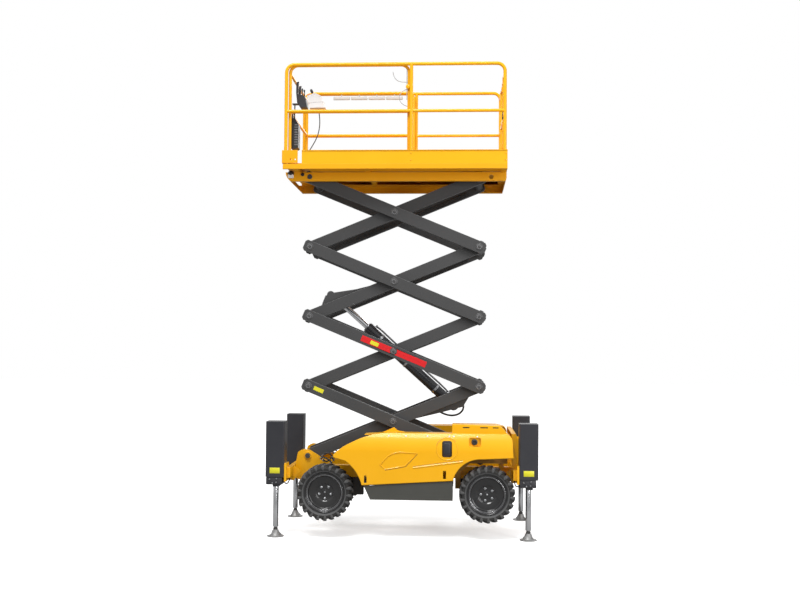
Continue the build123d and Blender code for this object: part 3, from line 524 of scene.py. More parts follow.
zinc_plate = finish_material("zinc_plate", (0.52, 0.53, 0.55), 0.3, metallic=1.0, dust=0.03, low_dust=0.05,
                             rubbed_and_sheen_colour=(0.7, 0.7, 0.7), grain=1500.0)
pipe_grey = finish_material("pipe_grey", (0.2, 0.2, 0.205), 0.28, metallic=0.7)
oil_pipe = [on_barrel(0.155, 0.07), on_barrel(0.17, 0.086), on_barrel(0.6, 0.082), on_barrel(1.1, 0.082),
            on_barrel(1.35, 0.088), on_barrel(1.375, 0.072)]
hoses("barrel_oil_pipe", [oil_pipe], 0.012, pipe_grey, "cylinder_barrel")

fittings = bmesh.new()
barrel_tube = 0.062
for run in (0.3, 0.78, 1.22):
    place = seated(on_barrel(run, 0.0), rod_way)
    add_lathe(fittings, [(barrel_tube, -0.014), (barrel_tube + 0.004, -0.012), (barrel_tube + 0.004, 0.012),
                         (barrel_tube, 0.014)], place, 40)
nut = [(0.0, 0.0), (0.014, 0.0), (0.016, 0.002), (0.016, 0.014), (0.013, 0.018), (0.009, 0.03), (0.0, 0.03)]
for run, up in ((0.155, barrel_tube), (1.365, barrel_tube + 0.006)):
    add_lathe(fittings, nut, seated(on_barrel(run, up), barrel_up), 6)
as_piece("barrel_fittings", fittings, zinc_plate, "cylinder_barrel")
wiper = [(0.037, 1.438), (0.06, 1.438), (0.062, 1.442), (0.062, 1.45), (0.056, 1.454), (0.037, 1.452)]
lathe_piece("rod_wiper", wiper, seated(barrel_foot, rod_way), 40, zinc_plate, "cylinder_barrel")


# ----------------------------------------
# Chassis: welded yellow rails and cross members between black cast axles. Valve blocks and a bundle of
# looping black hoses sit inside each front wheel.
yellow = finish_material("yellow_paint", (0.96, 0.47, 0.001), 0.34, coat=0.25, specular=0.25,
                         rubbed_and_sheen_colour=(0.98, 0.66, 0.12), rubbed_and_sheen_share=0.35, low_dust=0.05, dusty=(0.55, 0.42, 0.25),
                         grain=700.0, grain_depth=0.03)
frame_black = finish_material("frame_black", (0.02, 0.02, 0.02), 0.55, dust=0.1, low_dust=0.15)
dress(yellow, "frame_rails", "cross_members", "slide_guides")
dress(frame_black, "front_axle", "rear_axle", "knuckle_left", "knuckle_right", "tie_rod", "engine_block",
      "manifolds")
wheel_hose_lines = (
    ((-0.969, 0.928), (-0.921, 0.966), (-0.861, 0.934), (-0.836, 0.882)),
    ((-0.96, 0.88), (-0.932, 0.846), (-0.884, 0.858), (-0.85, 0.91)),
    ((-0.985, 0.9), (-0.93, 0.9), (-0.9, 0.88), (-0.86, 0.85)),
)
hose_row_y, hose_pitch = 0.47, 0.016
hands = ((-1, "right"), (1, "left"))      # the side of the middle plane, and its name
for side, hand in hands:
    routes = [[(x, side * (hose_row_y + hose_pitch * n), z) for x, z in line]
              for n, line in enumerate(wheel_hose_lines)]
    hoses(f"wheel_hoses_{hand}", routes, 0.0085, hose_black, "chassis")
    unions = bmesh.new()
    for line in routes:
        for end in (line[0], line[-1]):
            add_lathe(unions, nut, seated(end, (0.3, 0, -1)), 6)
    as_piece(f"wheel_hose_unions_{hand}", unions, zinc_plate, "chassis")


# ----------------------------------------
# Wheels: rims in glossy black with a deep dish, five zinc nuts round a hub stud. The all-terrain
# tyres have two staggered rows of 22 lugs that wrap over the shoulders, and a smooth raised band on each
# sidewall.
rim_black = finish_material("rim_black_paint", (0.01, 0.01, 0.011), 0.2, coat=0.8, coat_roughness=0.1,
                            rubbed_and_sheen_share=0.25, rubbed_and_sheen_colour=(0.2, 0.2, 0.21), grain=600.0, specular=0.4)
# Two bright steel rings in each rim's dish are a painted highlight standing in for reflected light.
rim_highlight_steel = finish_material("rim_highlight_steel", (0.4, 0.4, 0.41), 0.22, metallic=1.0)
tread_rubber = finish_material("tread_rubber", (0.062, 0.063, 0.065), 0.6, edge=0.003, rubbed_and_sheen_share=0.5,
                               rubbed_and_sheen_colour=(0.22, 0.22, 0.22), dust=0.05, low_dust=0.08, grain=350.0,
                               grain_depth=0.25)
# The carcass is far darker than the lugs: painted shade in the gaps between them.
carcass_painted_shade = finish_material("carcass_painted_shade", (0.009, 0.009, 0.009), 0.75, dust=0.03, low_dust=0.05,
                                 grain=350.0)
sidewall_rubber = finish_material("sidewall_rubber", (0.085, 0.086, 0.088), 0.55, dust=0.03, low_dust=0.05,
                                  grain=500.0, grain_depth=0.15)
tyre_section = [(0.214, -0.103), (0.23, -0.105), (0.236, -0.106), (0.24, -0.12), (0.244, -0.13),
                (0.248, -0.1335), (0.25, -0.138), (0.256, -0.1385), (0.2585, -0.1425), (0.27, -0.1445),
                (0.284, -0.144), (0.293, -0.137), (0.299, -0.126), (0.302, -0.11), (0.3035, -0.06),
                (0.304, 0.0)]
lug_stations = [
    (0.325, 0.3, 0.006, 0.019), (0.325, 0.3, 0.06, 0.019), (0.324, 0.3, 0.112, 0.018),
    (0.318, 0.296, 0.134, 0.017), (0.304, 0.288, 0.148, 0.016), (0.286, 0.278, 0.1505, 0.014),
    (0.266, 0.264, 0.147, 0.011),
]
lug_count, lug_lean = 22, tan(radians(22.0))
tread_top, shoulder_y, lug_end_y, lug_middle_y = 0.325, 0.13, 0.12, 0.076
lug_corner, lug_corner_drop, lug_flare, foot_tuck = 0.004, 0.0035, 0.003, 0.012


def add_lug(shape, turn, row):
    """One lug, swept over the shoulder through (top radius, foot radius, y, half width) stations."""
    sections = []
    for top, foot, y, half in lug_stations:
        shift = row * lug_lean * (min(y, lug_end_y) - lug_middle_y)
        over = y > shoulder_y
        low_top = top - lug_corner_drop
        marks = [(-half - lug_flare, foot, 0.0), (-half, low_top, 0.0), (-half + lug_corner, top, 0.001)]
        marks += [(half - lug_corner, top, 0.001), (half, low_top, 0.0), (half + lug_flare, foot, 0.0)]
        ring = []
        for across, radius, out in marks:
            angle = turn + (across + shift) / tread_top
            pushed = y if radius > foot else y - foot_tuck * over
            reach = row * (pushed + out * over)
            ring.append(shape.verts.new((radius * sin(angle), reach, radius * cos(angle))))
        sections.append(ring)
    add_skin(shape, sections)


def tyre_shape(centre):
    """Faces carry 0 for the carcass, darkened as painted shade between the lugs, 1 for its sidewall bands and
    2 for the lugs.
    """
    shape = bmesh.new()
    whole = tyre_section + [(radius, -y) for radius, y in reversed(tyre_section[:-1])]
    add_lathe(shape, whole + [whole[0]], turned((0.0, 1.0, 0.0)), 88)
    sidewall_reach = 0.262
    for face in shape.faces:
        middle = face.calc_center_median()
        face.material_index = 1 if hypot(middle.x, middle.z) < sidewall_reach else 0
    carcass_faces = set(shape.faces)
    pitch = 2.0 * pi / lug_count
    for n in range(lug_count):
        add_lug(shape, n * pitch, -1)
        add_lug(shape, (n + 0.5) * pitch, 1)
    for face in shape.faces:
        if face not in carcass_faces:
            face.material_index = 2
    bmesh.ops.translate(shape, verts=shape.verts, vec=centre)
    return shape


# (radius, y) of the rim's face from its outer lip to the hub, and of its back from the hub to the inner
# lip.
rim_face = [(0.2325, 0.108), (0.2335, 0.113), (0.232, 0.1175), (0.226, 0.118), (0.2215, 0.116),
            (0.218, 0.112), (0.215, 0.106), (0.212, 0.103), (0.206, 0.101), (0.2035, 0.096),
            (0.201, 0.09), (0.196, 0.087), (0.1935, 0.081), (0.1915, 0.072), (0.188, 0.065),
            (0.182, 0.0605), (0.174, 0.059), (0.11, 0.059), (0.104, 0.056), (0.098, 0.049),
            (0.092, 0.047), (0.03, 0.047), (0.028, 0.052), (0.0, 0.0525)]
rim_back = [(0.0, 0.033), (0.092, 0.033), (0.11, 0.044), (0.178, 0.044), (0.189, 0.04), (0.192, -0.06),
            (0.222, -0.118), (0.2325, -0.118), (0.233, -0.1085), (0.2138, -0.104), (0.2138, -0.08),
            (0.2005, -0.06), (0.2005, 0.05), (0.2138, 0.08), (0.2138, 0.104), (0.2325, 0.108)]
highlight_rings = ((0.21, 0.1035), (0.1995, 0.0895))


def rim_shape(centre, side):
    """Faces carry 0 for paint and 1 for two bright steel rings in the dish, a painted highlight in place of
    reflections.
    """
    shape = bmesh.new()
    place = seated(centre, (0.0, side, 0.0))
    add_lathe(shape, rim_face + rim_back, place, 64)
    painted = set(shape.faces)
    for radius, height in highlight_rings:
        circle = [(radius + 0.003 * cos(pi * k / 4), height + 0.003 * sin(pi * k / 4)) for k in range(9)]
        add_lathe(shape, circle, place, 64)
    for face in shape.faces:
        if face not in painted:
            face.material_index = 1
    return shape


nut_circle, nut_count, nut_seat, stud_seat = 0.072, 5, 0.0465, 0.052
wheel_nut = [(0.0, 0.0), (0.016, 0.0), (0.016, 0.002), (0.012, 0.003), (0.012, 0.014), (0.01, 0.017),
             (0.0, 0.0175)]
hub_stud = [(0.0, 0.0), (0.011, 0.0), (0.01, 0.005), (0.004, 0.007), (0.0, 0.0075)]
first_nut = {"front": -90.0, "rear": -180.0}
for end in ("front", "rear"):
    for side, hand in hands:
        wheel = f"wheel_{end}_{hand}"
        centre = Vector(joints[f"{wheel}_spin"]["pos_m"])
        rim = as_piece(f"rim_{end}_{hand}_pressing", rim_shape(centre, side), rim_black, wheel)
        rim.data.materials.append(rim_highlight_steel)
        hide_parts(f"rim_{end}_{hand}")
        tyre = as_piece(f"tyre_{end}_{hand}_tread", tyre_shape(centre), carcass_painted_shade, wheel)
        tyre.data.materials.append(sidewall_rubber)
        tyre.data.materials.append(tread_rubber)
        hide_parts(f"tyre_{end}_{hand}")
        nuts = bmesh.new()
        for n in range(nut_count):
            angle = radians(first_nut[end]) + 2.0 * pi * n / nut_count
            seat = (centre.x + nut_circle * cos(angle), centre.y + side * nut_seat,
                    centre.z + nut_circle * sin(angle))
            add_lathe(nuts, wheel_nut, seated(seat, (0.0, side, 0.0)), 6)
        stud_place = seated((centre.x, centre.y + side * stud_seat, centre.z), (0, side, 0))
        add_lathe(nuts, hub_stud, stud_place, 16)
        as_piece(f"wheel_nuts_{end}_{hand}", nuts, zinc_plate, wheel)


# ----------------------------------------
# Levelling jacks: bevelled black steel covers over hydraulic rams, each with a blank yellow plate near
# its foot, a clamp block with four unions and a short hose, and a chromed leg on a ball and a round pad.
cover_black = finish_material("cover_black_paint", (0.018, 0.019, 0.026), 0.42, edge=0.006, rubbed_and_sheen_share=0.3,
                              rubbed_and_sheen_colour=(0.16, 0.16, 0.17), dust=0.04, low_dust=0.06, coat=0.15)
pin_black = finish_material("pin_black", (0.014, 0.014, 0.015), 0.35, rubbed_and_sheen_share=0.3, dust=0.03, low_dust=0.15)
pad_steel = finish_material("pad_steel", (0.3, 0.3, 0.3), 0.42, metallic=0.5, dust=0.06, low_dust=0.12)
dress(cover_black, "jack_boxes")
leg_rod = [(0.0, 0.905), (0.0305, 0.905), (0.0325, 0.9), (0.0325, 0.118), (0.028, 0.112), (0.0, 0.112)]
leg_ball = [(0.0, 0.112), (0.018, 0.112), (0.019, 0.104), (0.026, 0.1), (0.0275, 0.09), (0.022, 0.078),
            (0.0, 0.076)]
leg_pad = [(0.0, 0.0004), (0.099, 0.0004), (0.1, 0.002), (0.1, 0.0075), (0.0975, 0.01), (0.064, 0.013),
           (0.056, 0.02), (0.04, 0.062), (0.034, 0.078), (0.027, 0.08), (0.0, 0.079)]

pad_rib = ((0.05, 0.012), (0.092, 0.009), (0.04, 0.06))


def leg_shape(x, y):
    """Faces carry 0 for the chromed rod, 1 for the ball joint and 2 for the pad with its four ribs."""
    shape = bmesh.new()
    place = Matrix.Translation((x, y, 0.0))
    for index, (profile, steps) in enumerate(((leg_rod, 40), (leg_ball, 28), (leg_pad, 40))):
        before = set(shape.faces)
        add_lathe(shape, profile, place, steps)
        if index == 2:
            for n in range(4):
                rib = place @ Matrix.Rotation(pi * (0.25 + 0.5 * n), 4, "Z")
                add_skin(shape, [[shape.verts.new(rib @ Vector((out, half, up))) for out, up in pad_rib]
                                 for half in (-0.003, 0.003)])
        for face in shape.faces:
            if face not in before:
                face.material_index = index
    return shape


def add_block(shape, low, high, rounding=0.002, place=Matrix()):
    """Adds a box with rounded edges, given by two opposite corners."""
    size = [abs(b - a) for a, b in zip(low, high)]
    middle = [(a + b) / 2.0 for a, b in zip(low, high)]
    form = place @ Matrix.Translation(middle) @ Matrix.Diagonal((*size, 1.0))
    made = bmesh.ops.create_cube(shape, size=1.0, matrix=form)
    edges = list({edge for vert in made["verts"] for edge in vert.link_edges})
    bmesh.ops.bevel(shape, geom=edges, offset=rounding, segments=2, profile=0.5, affect="EDGES")


jack_half, plate_thick = 0.11, 0.0018
clamp_face, clamp_lip_face, clamp_lip_top = 0.104, 0.078, 0.612
for end, way in (("front", -1), ("rear", 1)):
    for side, hand in hands:
        leg = f"jack_leg_{end}_{hand}"
        low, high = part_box(leg)
        x, y = (low.x + high.x) / 2.0, (low.y + high.y) / 2.0
        ram = as_piece(f"jack_ram_{end}_{hand}", leg_shape(x, y), hard_chrome, leg)
        ram.data.materials.append(pin_black)
        ram.data.materials.append(pad_steel)
        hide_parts(leg)
        face = y + side * jack_half
        plate_y = sorted((face, face + side * plate_thick))
        plate = bmesh.new()
        add_block(plate, (x - 0.06, plate_y[0], 0.744), (x + 0.06, plate_y[1], 0.81), 0.0007)
        as_piece(f"jack_plate_{end}_{hand}", plate, label_yellow, "chassis")
        clamp = bmesh.new()
        add_block(clamp, (x - 0.104, y - clamp_face, clamp_lip_top), (x + 0.086, y + clamp_face, 0.7005),
                  0.01)
        add_block(clamp, (x - 0.03, y - clamp_lip_face, 0.586), (x + 0.05, y + clamp_lip_face, 0.614), 0.008)
        as_piece(f"jack_clamp_{end}_{hand}", clamp, cover_black, "chassis")
        unions = bmesh.new()
        for dx, z in ((-0.06, 0.675), (0.022, 0.682), (-0.028, 0.632), (0.018, 0.64)):
            reach = clamp_face if z > clamp_lip_top else clamp_lip_face
            place = seated((x + dx, y + side * reach, z), (0, side, 0))
            add_lathe(unions, [(r * 0.7, h * 0.6) for r, h in nut], place, 6)
        as_piece(f"jack_unions_{end}_{hand}", unions, zinc_plate, "chassis")
        loop = [(x - way * back, y + side * out, z)
                for back, out, z in ((0.048, 0.06, 0.682), (0.11, 0.06, 0.64), (0.13, 0.06, 0.615),
                                     (0.16, 0.03, 0.64), (0.16, -0.04, 0.7))]
        hoses(f"jack_hose_{end}_{hand}", [loop], 0.007, hose_black, "chassis")


# ----------------------------------------
# Body: yellow steel cowls either side of the scissor. Each cowl is shut by a black paddle latch in its
# cup, has a black filler cap in a second cup and small pale plugs along its top edge. Near-black plates
# behind the louvre slots paint the shade inside the cover; sill seals and the studs of the ladder's treads
# complete it.
# The arch liners are the cowls' yellow darkened to amber: painted shade for the inside of the wheel arches.
liner_painted_shade = finish_material("liner_painted_shade", (0.36, 0.175, 0.01), 0.6, dust=0.06, low_dust=0.06)
sill_grey = finish_material("sill_grey_paint", (0.062, 0.063, 0.056), 0.55, low_dust=0.05, specular=0.3)
shadow_line_amber = finish_material("shadow_line_amber", (0.34, 0.14, 0.002), 0.5)
shade_black = finish_material("shade_black", (0.006, 0.006, 0.006), 0.8, dust=0.05)
label_white = finish_material("label_white", (0.82, 0.82, 0.8), 0.42)
dress(yellow, "side_door_left", "side_door_right", "rear_cover", "ladder")
dress(liner_painted_shade, "arch_liners")
dress(sill_grey, "sills")
cowl_face, cowl_bend_z, cowl_bend_radius = 0.882, 1.01, 0.3464


def cowl_y(z):
    """Distance of the cowl's outer face from the middle plane at a height."""
    rise = max(0.0, z - cowl_bend_z)
    return cowl_face - cowl_bend_radius + (cowl_bend_radius ** 2 - rise ** 2) ** 0.5


def arc_line(centre, radius, start, stop, steps):
    turns = [radians(start + (stop - start) * k / steps) for k in range(steps + 1)]
    return [(centre[0] + radius * cos(t), centre[1] + radius * sin(t)) for t in turns]


def add_bead(shape, line, side, half=0.007, height=0.0035, closed=False):
    """A pressed bead that follows a line of (x, z) points over the cowl's face."""
    count = len(line)
    rows = []
    for k, (x, z) in enumerate(line):
        before = line[k - 1] if closed or k else line[0]
        after = line[(k + 1) % count] if closed or k < count - 1 else line[-1]
        way = Vector((after[0] - before[0], 0.0, after[1] - before[1])).normalized()
        across = Vector((-way.z, 0.0, way.x)) * half
        row = []
        for share, out in ((-1.0, -0.004), (-0.9, 0.0), (0.0, height), (0.9, 0.0), (1.0, -0.004)):
            point = Vector((x, 0.0, z)) + across * share
            row.append(shape.verts.new((point.x, side * (cowl_y(point.z) + out), point.z)))
        rows.append(row)
    add_skin(shape, rows, closed)


def rounded_outline(x, z, corner, steps=6):
    """A rectangle in x and z with round corners, as a list of points."""
    line = []
    for cx, cz, start in ((x[1] - corner, z[1] - corner, 0), (x[0] + corner, z[1] - corner, 90),
                          (x[0] + corner, z[0] + corner, 180), (x[1] - corner, z[0] + corner, 270)):
        line += arc_line((cx, cz), corner, start, start + 90, steps)
    return line


def add_pad(shape, outline, side, base, top, inset=0.005):
    """A flat pad with a chamfered edge, between two distances from the middle plane."""
    cx = sum(p[0] for p in outline) / len(outline)
    cz = sum(p[1] for p in outline) / len(outline)
    layers = []
    for distance, pull in ((base, 0.0), (top - inset, 0.0), (top - 0.3 * inset, 0.3 * inset), (top, inset)):
        layer = []
        for x, z in outline:
            away = Vector((x - cx, z - cz))
            away *= 1.0 - pull / max(away.length, 1e-6)
            layer.append(shape.verts.new((cx + away.x, side * distance, cz + away.y)))
        layers.append(layer)
    add_skin(shape, layers)


panel_line = [(-0.243, 0.859), (-0.184, 0.808), (-0.06, 0.829), (0.047, 0.851), (0.118, 0.925),
              (0.185, 0.996), (0.087, 1.004), (-0.012, 1.008), (-0.085, 0.996), (-0.151, 0.963),
              (-0.205, 0.905)]
crease_line = [(0.14, 0.829), (0.24, 0.843), (0.337, 0.857), (0.45, 0.873), (0.567, 0.888),
               (0.717, 0.906)]
latch_x, latch_z, latch_floor = (0.474, 0.59), (0.953, 1.143), 0.84
latch_centre = (0.532, 1.046)
cap_centre, cap_floor = (0.85, 1.128), 0.817
cap_profile = [(0.0, 0.0), (0.034, 0.0), (0.036, 0.002), (0.036, 0.006), (0.029, 0.007), (0.029, 0.026),
               (0.026, 0.031), (0.016, 0.032), (0.01, 0.029), (0.0, 0.029)]
plug = [(0.0, 0.0), (0.01, 0.0), (0.0105, 0.002), (0.0085, 0.005), (0.004, 0.0065), (0.0, 0.0067)]
plug_z, knurl_count = 1.192, 12
for side, hand in hands:
    door = f"side_door_{hand}"
    beads = bmesh.new()
    add_bead(beads, panel_line, side, half=0.008, height=0.0055, closed=True)
    add_bead(beads, crease_line, side, half=0.013, height=0.0075)
    latch_ring = arc_line(latch_centre, 0.1225, 0, 360, 48)[:-1]
    add_bead(beads, latch_ring, side, half=0.007, height=0.0045, closed=True)
    as_piece(f"cowl_beads_{hand}", beads, yellow, door, crease=25.0)
    # Amber strips just below the panel's lower edges, above the crease and on the upper left of the latch
    # ring are painted shadow.
    shadow_lines = bmesh.new()
    add_bead(shadow_lines, [(x + 0.006, z - 0.01) for x, z in panel_line[:6]], side, half=0.003, height=0.0012)
    add_bead(shadow_lines, [(x, z + 0.014) for x, z in crease_line], side, half=0.004, height=0.0012)
    add_bead(shadow_lines, arc_line(latch_centre, 0.131, 40, 160, 16), side, half=0.003, height=0.001)
    as_piece(f"cowl_shadow_lines_{hand}", shadow_lines, shadow_line_amber, door)
    latch = bmesh.new()
    for in_x, in_z, corner, base, top, inset in ((0.002, 0.002, 0.026, 0.0, 0.016, 0.006),
                                                 (0.024, 0.03, 0.016, 0.014, 0.024, 0.005)):
        pad_line = rounded_outline((latch_x[0] + in_x, latch_x[1] - in_x),
                                   (latch_z[0] + in_z, latch_z[1] - in_z), corner)
        add_pad(latch, pad_line, side, latch_floor + base, latch_floor + top, inset)
    as_piece(f"cowl_latch_{hand}", latch, cover_black, door)
    filler = bmesh.new()
    place = seated((cap_centre[0], side * cap_floor, cap_centre[1]), (0.0, side, 0.0))
    add_lathe(filler, cap_profile, place, 32)
    for n in range(knurl_count):
        knurl = place @ Matrix.Rotation(2.0 * pi * n / knurl_count, 4, "Z")
        add_block(filler, (0.027, -0.003, 0.009), (0.0315, 0.003, 0.026), 0.001, knurl)
    as_piece(f"filler_cap_{hand}", filler, pin_black, door)
    plugs = bmesh.new()
    for x in (-0.147, 0.052, 0.304, 0.558, 0.609, 0.881):
        place = seated((x, side * (cowl_y(plug_z) - 0.0008), plug_z), (0.0, side, 0.62))
        add_lathe(plugs, plug, place, 14)
    as_piece(f"cowl_plugs_{hand}", plugs, label_white, door)

# Near-black plates behind the louvre slots: painted shade for the inside of the cover.
shade_plates = bmesh.new()
for x0, x1 in ((0.7, 0.803), (0.904, 1.018), (1.05, 1.142)):
    add_block(shade_plates, (x0, -0.7625, 1.278), (x1, -0.757, 1.306), 0.001)
as_piece("louvre_shade_plates", shade_plates, shade_black, "chassis")

# The raised cover over the left shelf is a low lid, unlike the louvred one over the engine on the right.
shelf_top, shelf_inner_y, lid_share = 1.2225, 0.577, 0.22
lids = bmesh.new()
lids.from_mesh(nodes["hood_tops"].data)
for vert in lids.verts:
    if vert.co.y > shelf_inner_y and vert.co.z > shelf_top:
        vert.co.z = shelf_top + (vert.co.z - shelf_top) * lid_share
hood_shelves = as_piece("hood_shelves", lids, yellow, "chassis", crease=30.0)
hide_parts("hood_tops")

seals = bmesh.new()
for side in (-1, 1):
    ys = sorted((side * 0.846, side * 0.866))
    add_block(seals, (-0.45, ys[0], 0.622), (-0.18, ys[1], 0.656), 0.003)
as_piece("sill_seals", seals, sill_grey, "chassis")

treads = bmesh.new()
ladder_low, ladder_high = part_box("ladder")
tread_count = 4
stud = [(0.0, 0.0), (0.006, 0.0), (0.005, 0.0025), (0.0, 0.003)]
for n in range(tread_count):
    z = ladder_low.z + (n + 0.5) * (ladder_high.z - ladder_low.z) / tread_count
    for k in range(9):
        y = -0.16 + 0.04 * k
        add_lathe(treads, stud, Matrix.Translation((ladder_high.x - 0.022, y, z)), 10)
as_piece("ladder_tread_studs", treads, yellow, "chassis")


# ----------------------------------------
# Platform: a folded steel deck on joists with yellow toe boards and guard rails of bent tube. A sloped
# skirt joins the deck's edge to each side beam, and the right beam carries a black lamp dome, a round cap
# and a pale box.
deck_steel = finish_material("deck_steel_paint", (0.95, 0.43, 0.002), 0.45, rubbed_and_sheen_share=0.35,
                             rubbed_and_sheen_colour=(0.98, 0.66, 0.12),
                             dust=0.04, dusty=(0.3, 0.22, 0.12), grain=160.0, grain_depth=0.35,
                             specular=0.25)
dress(deck_steel, "platform_deck", "extension_deck")
dress(yellow, "toe_boards", "guard_rails", "gate", "extension_rails")
deck_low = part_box("platform_deck")[0]
toe_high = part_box("toe_boards")[1]
lamp_black = finish_material("lamp_black", (0.012, 0.012, 0.013), 0.3, dust=0.03)
lamp_white = finish_material("lamp_white", (0.86, 0.86, 0.85), 0.35)

bolt = [(0.0, 0.0), (0.01, 0.0), (0.01, 0.0012), (0.0075, 0.0016), (0.0075, 0.006), (0.0055, 0.007),
        (0.0, 0.007)]
skirt_top, skirt_bottom = 4.376, 4.345
beam_face = 0.529
skirt_outer, skirt_thick, toe_face = 0.768, 0.004, 0.7788
for side, hand in hands:
    skirt = bmesh.new()
    section = [(skirt_outer, skirt_top), (skirt_outer, skirt_top + skirt_thick),
               (beam_face, skirt_bottom + skirt_thick), (beam_face, skirt_bottom)]
    ends = [[skirt.verts.new((x, side * y, z)) for y, z in section]
            for x in (deck_low.x + 0.3, toe_high.x - 0.012)]
    add_skin(skirt, ends)
    as_piece(f"deck_skirt_{hand}", skirt, deck_steel, "platform")
    bolts = bmesh.new()
    for x in (0.086, toe_high.x - 0.02):
        for z in (4.44, 4.52):
            add_lathe(bolts, bolt, seated((x, side * toe_face, z), (0.0, side, 0.0)), 6)
    as_piece(f"toe_bolts_{hand}", bolts, yellow, "platform")

lamp = bmesh.new()
lamp_dome = [(0.0, 0.03), (0.018, 0.028), (0.032, 0.018), (0.038, 0.004), (0.04, -0.006), (0.0, -0.006)]
round_cap = [(0.0, 0.012), (0.012, 0.012), (0.021, 0.008), (0.022, 0.0), (0.0, 0.0)]
for profile, along, out, z, steps in ((lamp_dome, 0.064, 0.004, 4.318, 28),
                                      (round_cap, 0.208, 0.0, 4.308, 24)):
    add_lathe(lamp, profile, seated((deck_low.x + along, -beam_face - out, z), (0.0, -1.0, 0.0)), steps)
as_piece("beam_lamp", lamp, lamp_black, "platform")
lamp_box = bmesh.new()
add_block(lamp_box, (deck_low.x + 0.03, -beam_face - 0.03, 4.262),
          (deck_low.x + 0.1, -beam_face + 0.004, 4.306), 0.006)
as_piece("beam_lamp_box", lamp_box, lamp_white, "platform")

# The gate's strut: a short black stay upright on the rear end rail.
strut_low, strut_high = Vector((1.181, -0.42, 4.996)), Vector((1.181, -0.415, 5.092))
strut = [(0.0, 0.0), (0.008, 0.0), (0.009, 0.006), (0.009, 0.058), (0.005, 0.062), (0.005, 0.092),
         (0.008, 0.094), (0.008, 0.102), (0.0, 0.103)]
lathe_piece("gate_strut", strut, seated(strut_low, strut_high - strut_low), 16,
            pin_black, "platform")


# ----------------------------------------
# Sliding extension: its own bent rails, a yellow locking knob on the rear post, a foam guard strip
# clipped in four lengths under the left top rail, and curled grey wires tied to the right rear post.
foam_grey = finish_material("foam_grey", (0.58, 0.58, 0.58), 0.7, dust=0.03, grain=250.0, grain_depth=0.3)
extension_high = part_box("extension_rails")[1]
foam, clips = bmesh.new(), bmesh.new()
foam_start, foam_length, foam_gap, foam_parts = -1.02, 0.222, 0.012, 4
for n in range(foam_parts):
    start = foam_start + n * (foam_length + foam_gap)
    middle = start + foam_length / 2.0
    add_block(foam, (start, 0.688, 5.508), (start + foam_length, 0.712, 5.554), 0.008)
    add_block(clips, (middle - 0.006, 0.694, 5.548), (middle + 0.006, 0.706, 5.584), 0.002)
as_piece("rail_foam", foam, foam_grey, "extension")
as_piece("rail_foam_clips", clips, foam_grey, "extension")
knob_profile = [(0.0, -0.026), (0.012, -0.026), (0.012, 0.006), (0.007, 0.01), (0.007, 0.022), (0.022, 0.026),
                (0.027, 0.032), (0.026, 0.04), (0.014, 0.045), (0.0, 0.046)]
knob_place = seated((extension_high.x - 0.019, -0.7, 5.326), (-0.35, -1.0, 0.0))
lathe_piece("lock_knob", knob_profile, knob_place, 28, yellow, "extension")
wire_lines = [
    [(-0.138, -0.7, 5.513), (-0.13, -0.705, 5.455), (-0.085, -0.708, 5.402), (-0.018, -0.706, 5.385),
     (0.04, -0.702, 5.388)],
    [(0.04, -0.702, 5.3), (-0.02, -0.706, 5.29), (-0.066, -0.708, 5.215), (-0.052, -0.706, 5.15),
     (0.0, -0.704, 5.105), (0.05, -0.702, 5.092)],
    [(0.03, -0.722, 5.54), (0.03, -0.723, 5.43), (0.029, -0.723, 5.3), (0.031, -0.722, 5.17)],
]
wire_grey = finish_material("wire_grey", (0.4, 0.4, 0.41), 0.45)
hoses("post_wires", wire_lines, 0.004, wire_grey, "extension")


# ----------------------------------------
# Control console: a light grey moulded box behind a dark guard tray, with a joystick in a rubber boot, a
# red stop button on a yellow plate, two guard levers and a screwed lid seam. The document box hangs below
# it.
console_grey = finish_material("console_grey", (0.78, 0.79, 0.8), 0.38, grain=1200.0)
box_black = finish_material("box_black", (0.016, 0.016, 0.017), 0.45, dust=0.03)
rib_grey = finish_material("rib_grey", (0.13, 0.13, 0.135), 0.5, dust=0.03)
stop_red = finish_material("stop_red", (0.7, 0.02, 0.012), 0.3, dust=0.0, coat=0.3)
dress(console_grey, "control_box")
dress(cover_black, "control_guard")
dress(box_black, "document_box")
console_low, console_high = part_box("control_box")
console_middle = (console_low.y + console_high.y) / 2.0

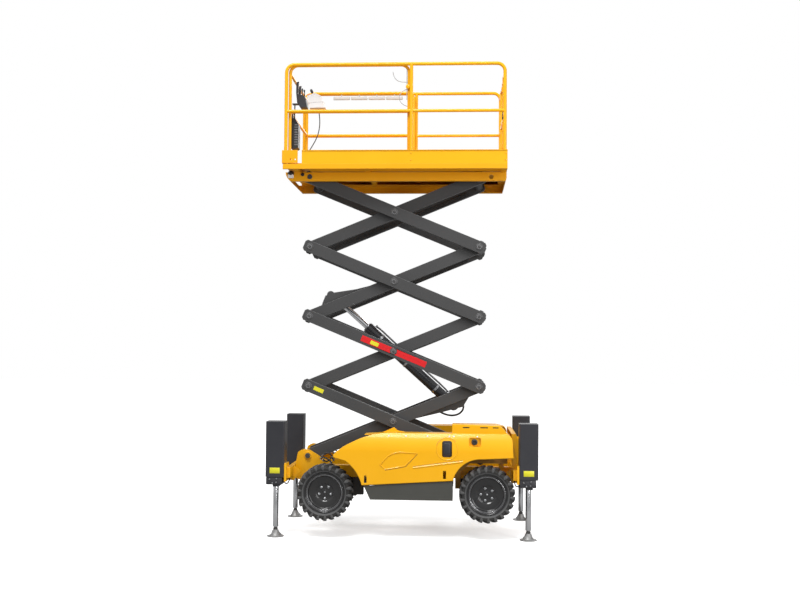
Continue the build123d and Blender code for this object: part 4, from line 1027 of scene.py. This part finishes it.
stick_foot, stick_tip = Vector((-1.121, console_middle, 5.29)), Vector((-1.16, console_middle, 5.368))
stick_place = seated(stick_foot, stick_tip - stick_foot)
boot = [(0.0, -0.008), (0.034, -0.008)]
for n in range(3):
    boot += [(0.031 - 0.006 * n, 0.002 + 0.008 * n), (0.025 - 0.006 * n, 0.006 + 0.008 * n)]
grip = [(0.008, 0.028), (0.008, 0.036), (0.015, 0.044), (0.017, 0.06), (0.015, 0.082), (0.009, 0.09),
        (0.0, 0.091)]
lathe_piece("joystick", boot + grip, stick_place, 24, black_rubber, "extension")
stop_place = seated((-1.17, console_middle - 0.05, 5.262), (-0.35, -0.15, 0.95))
stop = [(0.0, 0.0), (0.01, 0.0), (0.01, 0.018), (0.019, 0.02), (0.02, 0.03), (0.015, 0.036),
        (0.0, 0.037)]
stop_disc = [(0.0, -0.004), (0.03, -0.004), (0.031, 0.002), (0.028, 0.006), (0.0, 0.006)]
lathe_piece("stop_button", stop, stop_place, 28, stop_red, "extension")
lathe_piece("stop_plate", stop_disc, stop_place, 28, label_yellow, "extension")
lever_foot = 5.262
levers = bmesh.new()
for x, tip in ((-1.269, 5.382), (-1.245, 5.366)):
    place = seated((x + 0.01, console_middle, lever_foot), (-0.06, 0.0, 1.0))
    height = tip - lever_foot
    lever = [(0.0, 0.0), (0.006, 0.0), (0.006, height - 0.03), (0.01, height - 0.022),
             (0.011, height - 0.008), (0.007, height), (0.0, height)]
    add_lathe(levers, lever, place, 14)
as_piece("guard_levers", levers, pin_black, "extension")
seam = bmesh.new()
for y in (console_low.y - 0.0008, console_high.y - 0.0012):
    add_plate(seam, [(-1.178, 5.1765), (-1.178, 5.1785), (-0.99, 5.1915), (-0.989, 5.1895)], (y, y + 0.002))
as_piece("console_seam", seam, rib_grey, "extension")
lid_screws = bmesh.new()
screw = [(0.0, 0.0), (0.005, 0.0), (0.005, 0.001), (0.0035, 0.0025), (0.0, 0.003)]
for x, z in ((-1.165, 5.17), (-1.0, 5.181), (-1.1, 5.284), (-1.03, 5.254)):
    add_lathe(lid_screws, screw, seated((x, console_low.y, z), (0.0, -1.0, 0.0)), 12)
as_piece("console_screws", lid_screws, zinc_plate, "extension")

folder_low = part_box("document_box")[0]
ribs = bmesh.new()
rib_count = 9
for n in range(rib_count):
    z = 4.64 + 0.03 * n
    add_block(ribs, (-1.322, folder_low.y - 0.0035, z), (-1.284, folder_low.y + 0.002, z + 0.016), 0.0015)
as_piece("document_box_ribs", ribs, rib_grey, "extension")
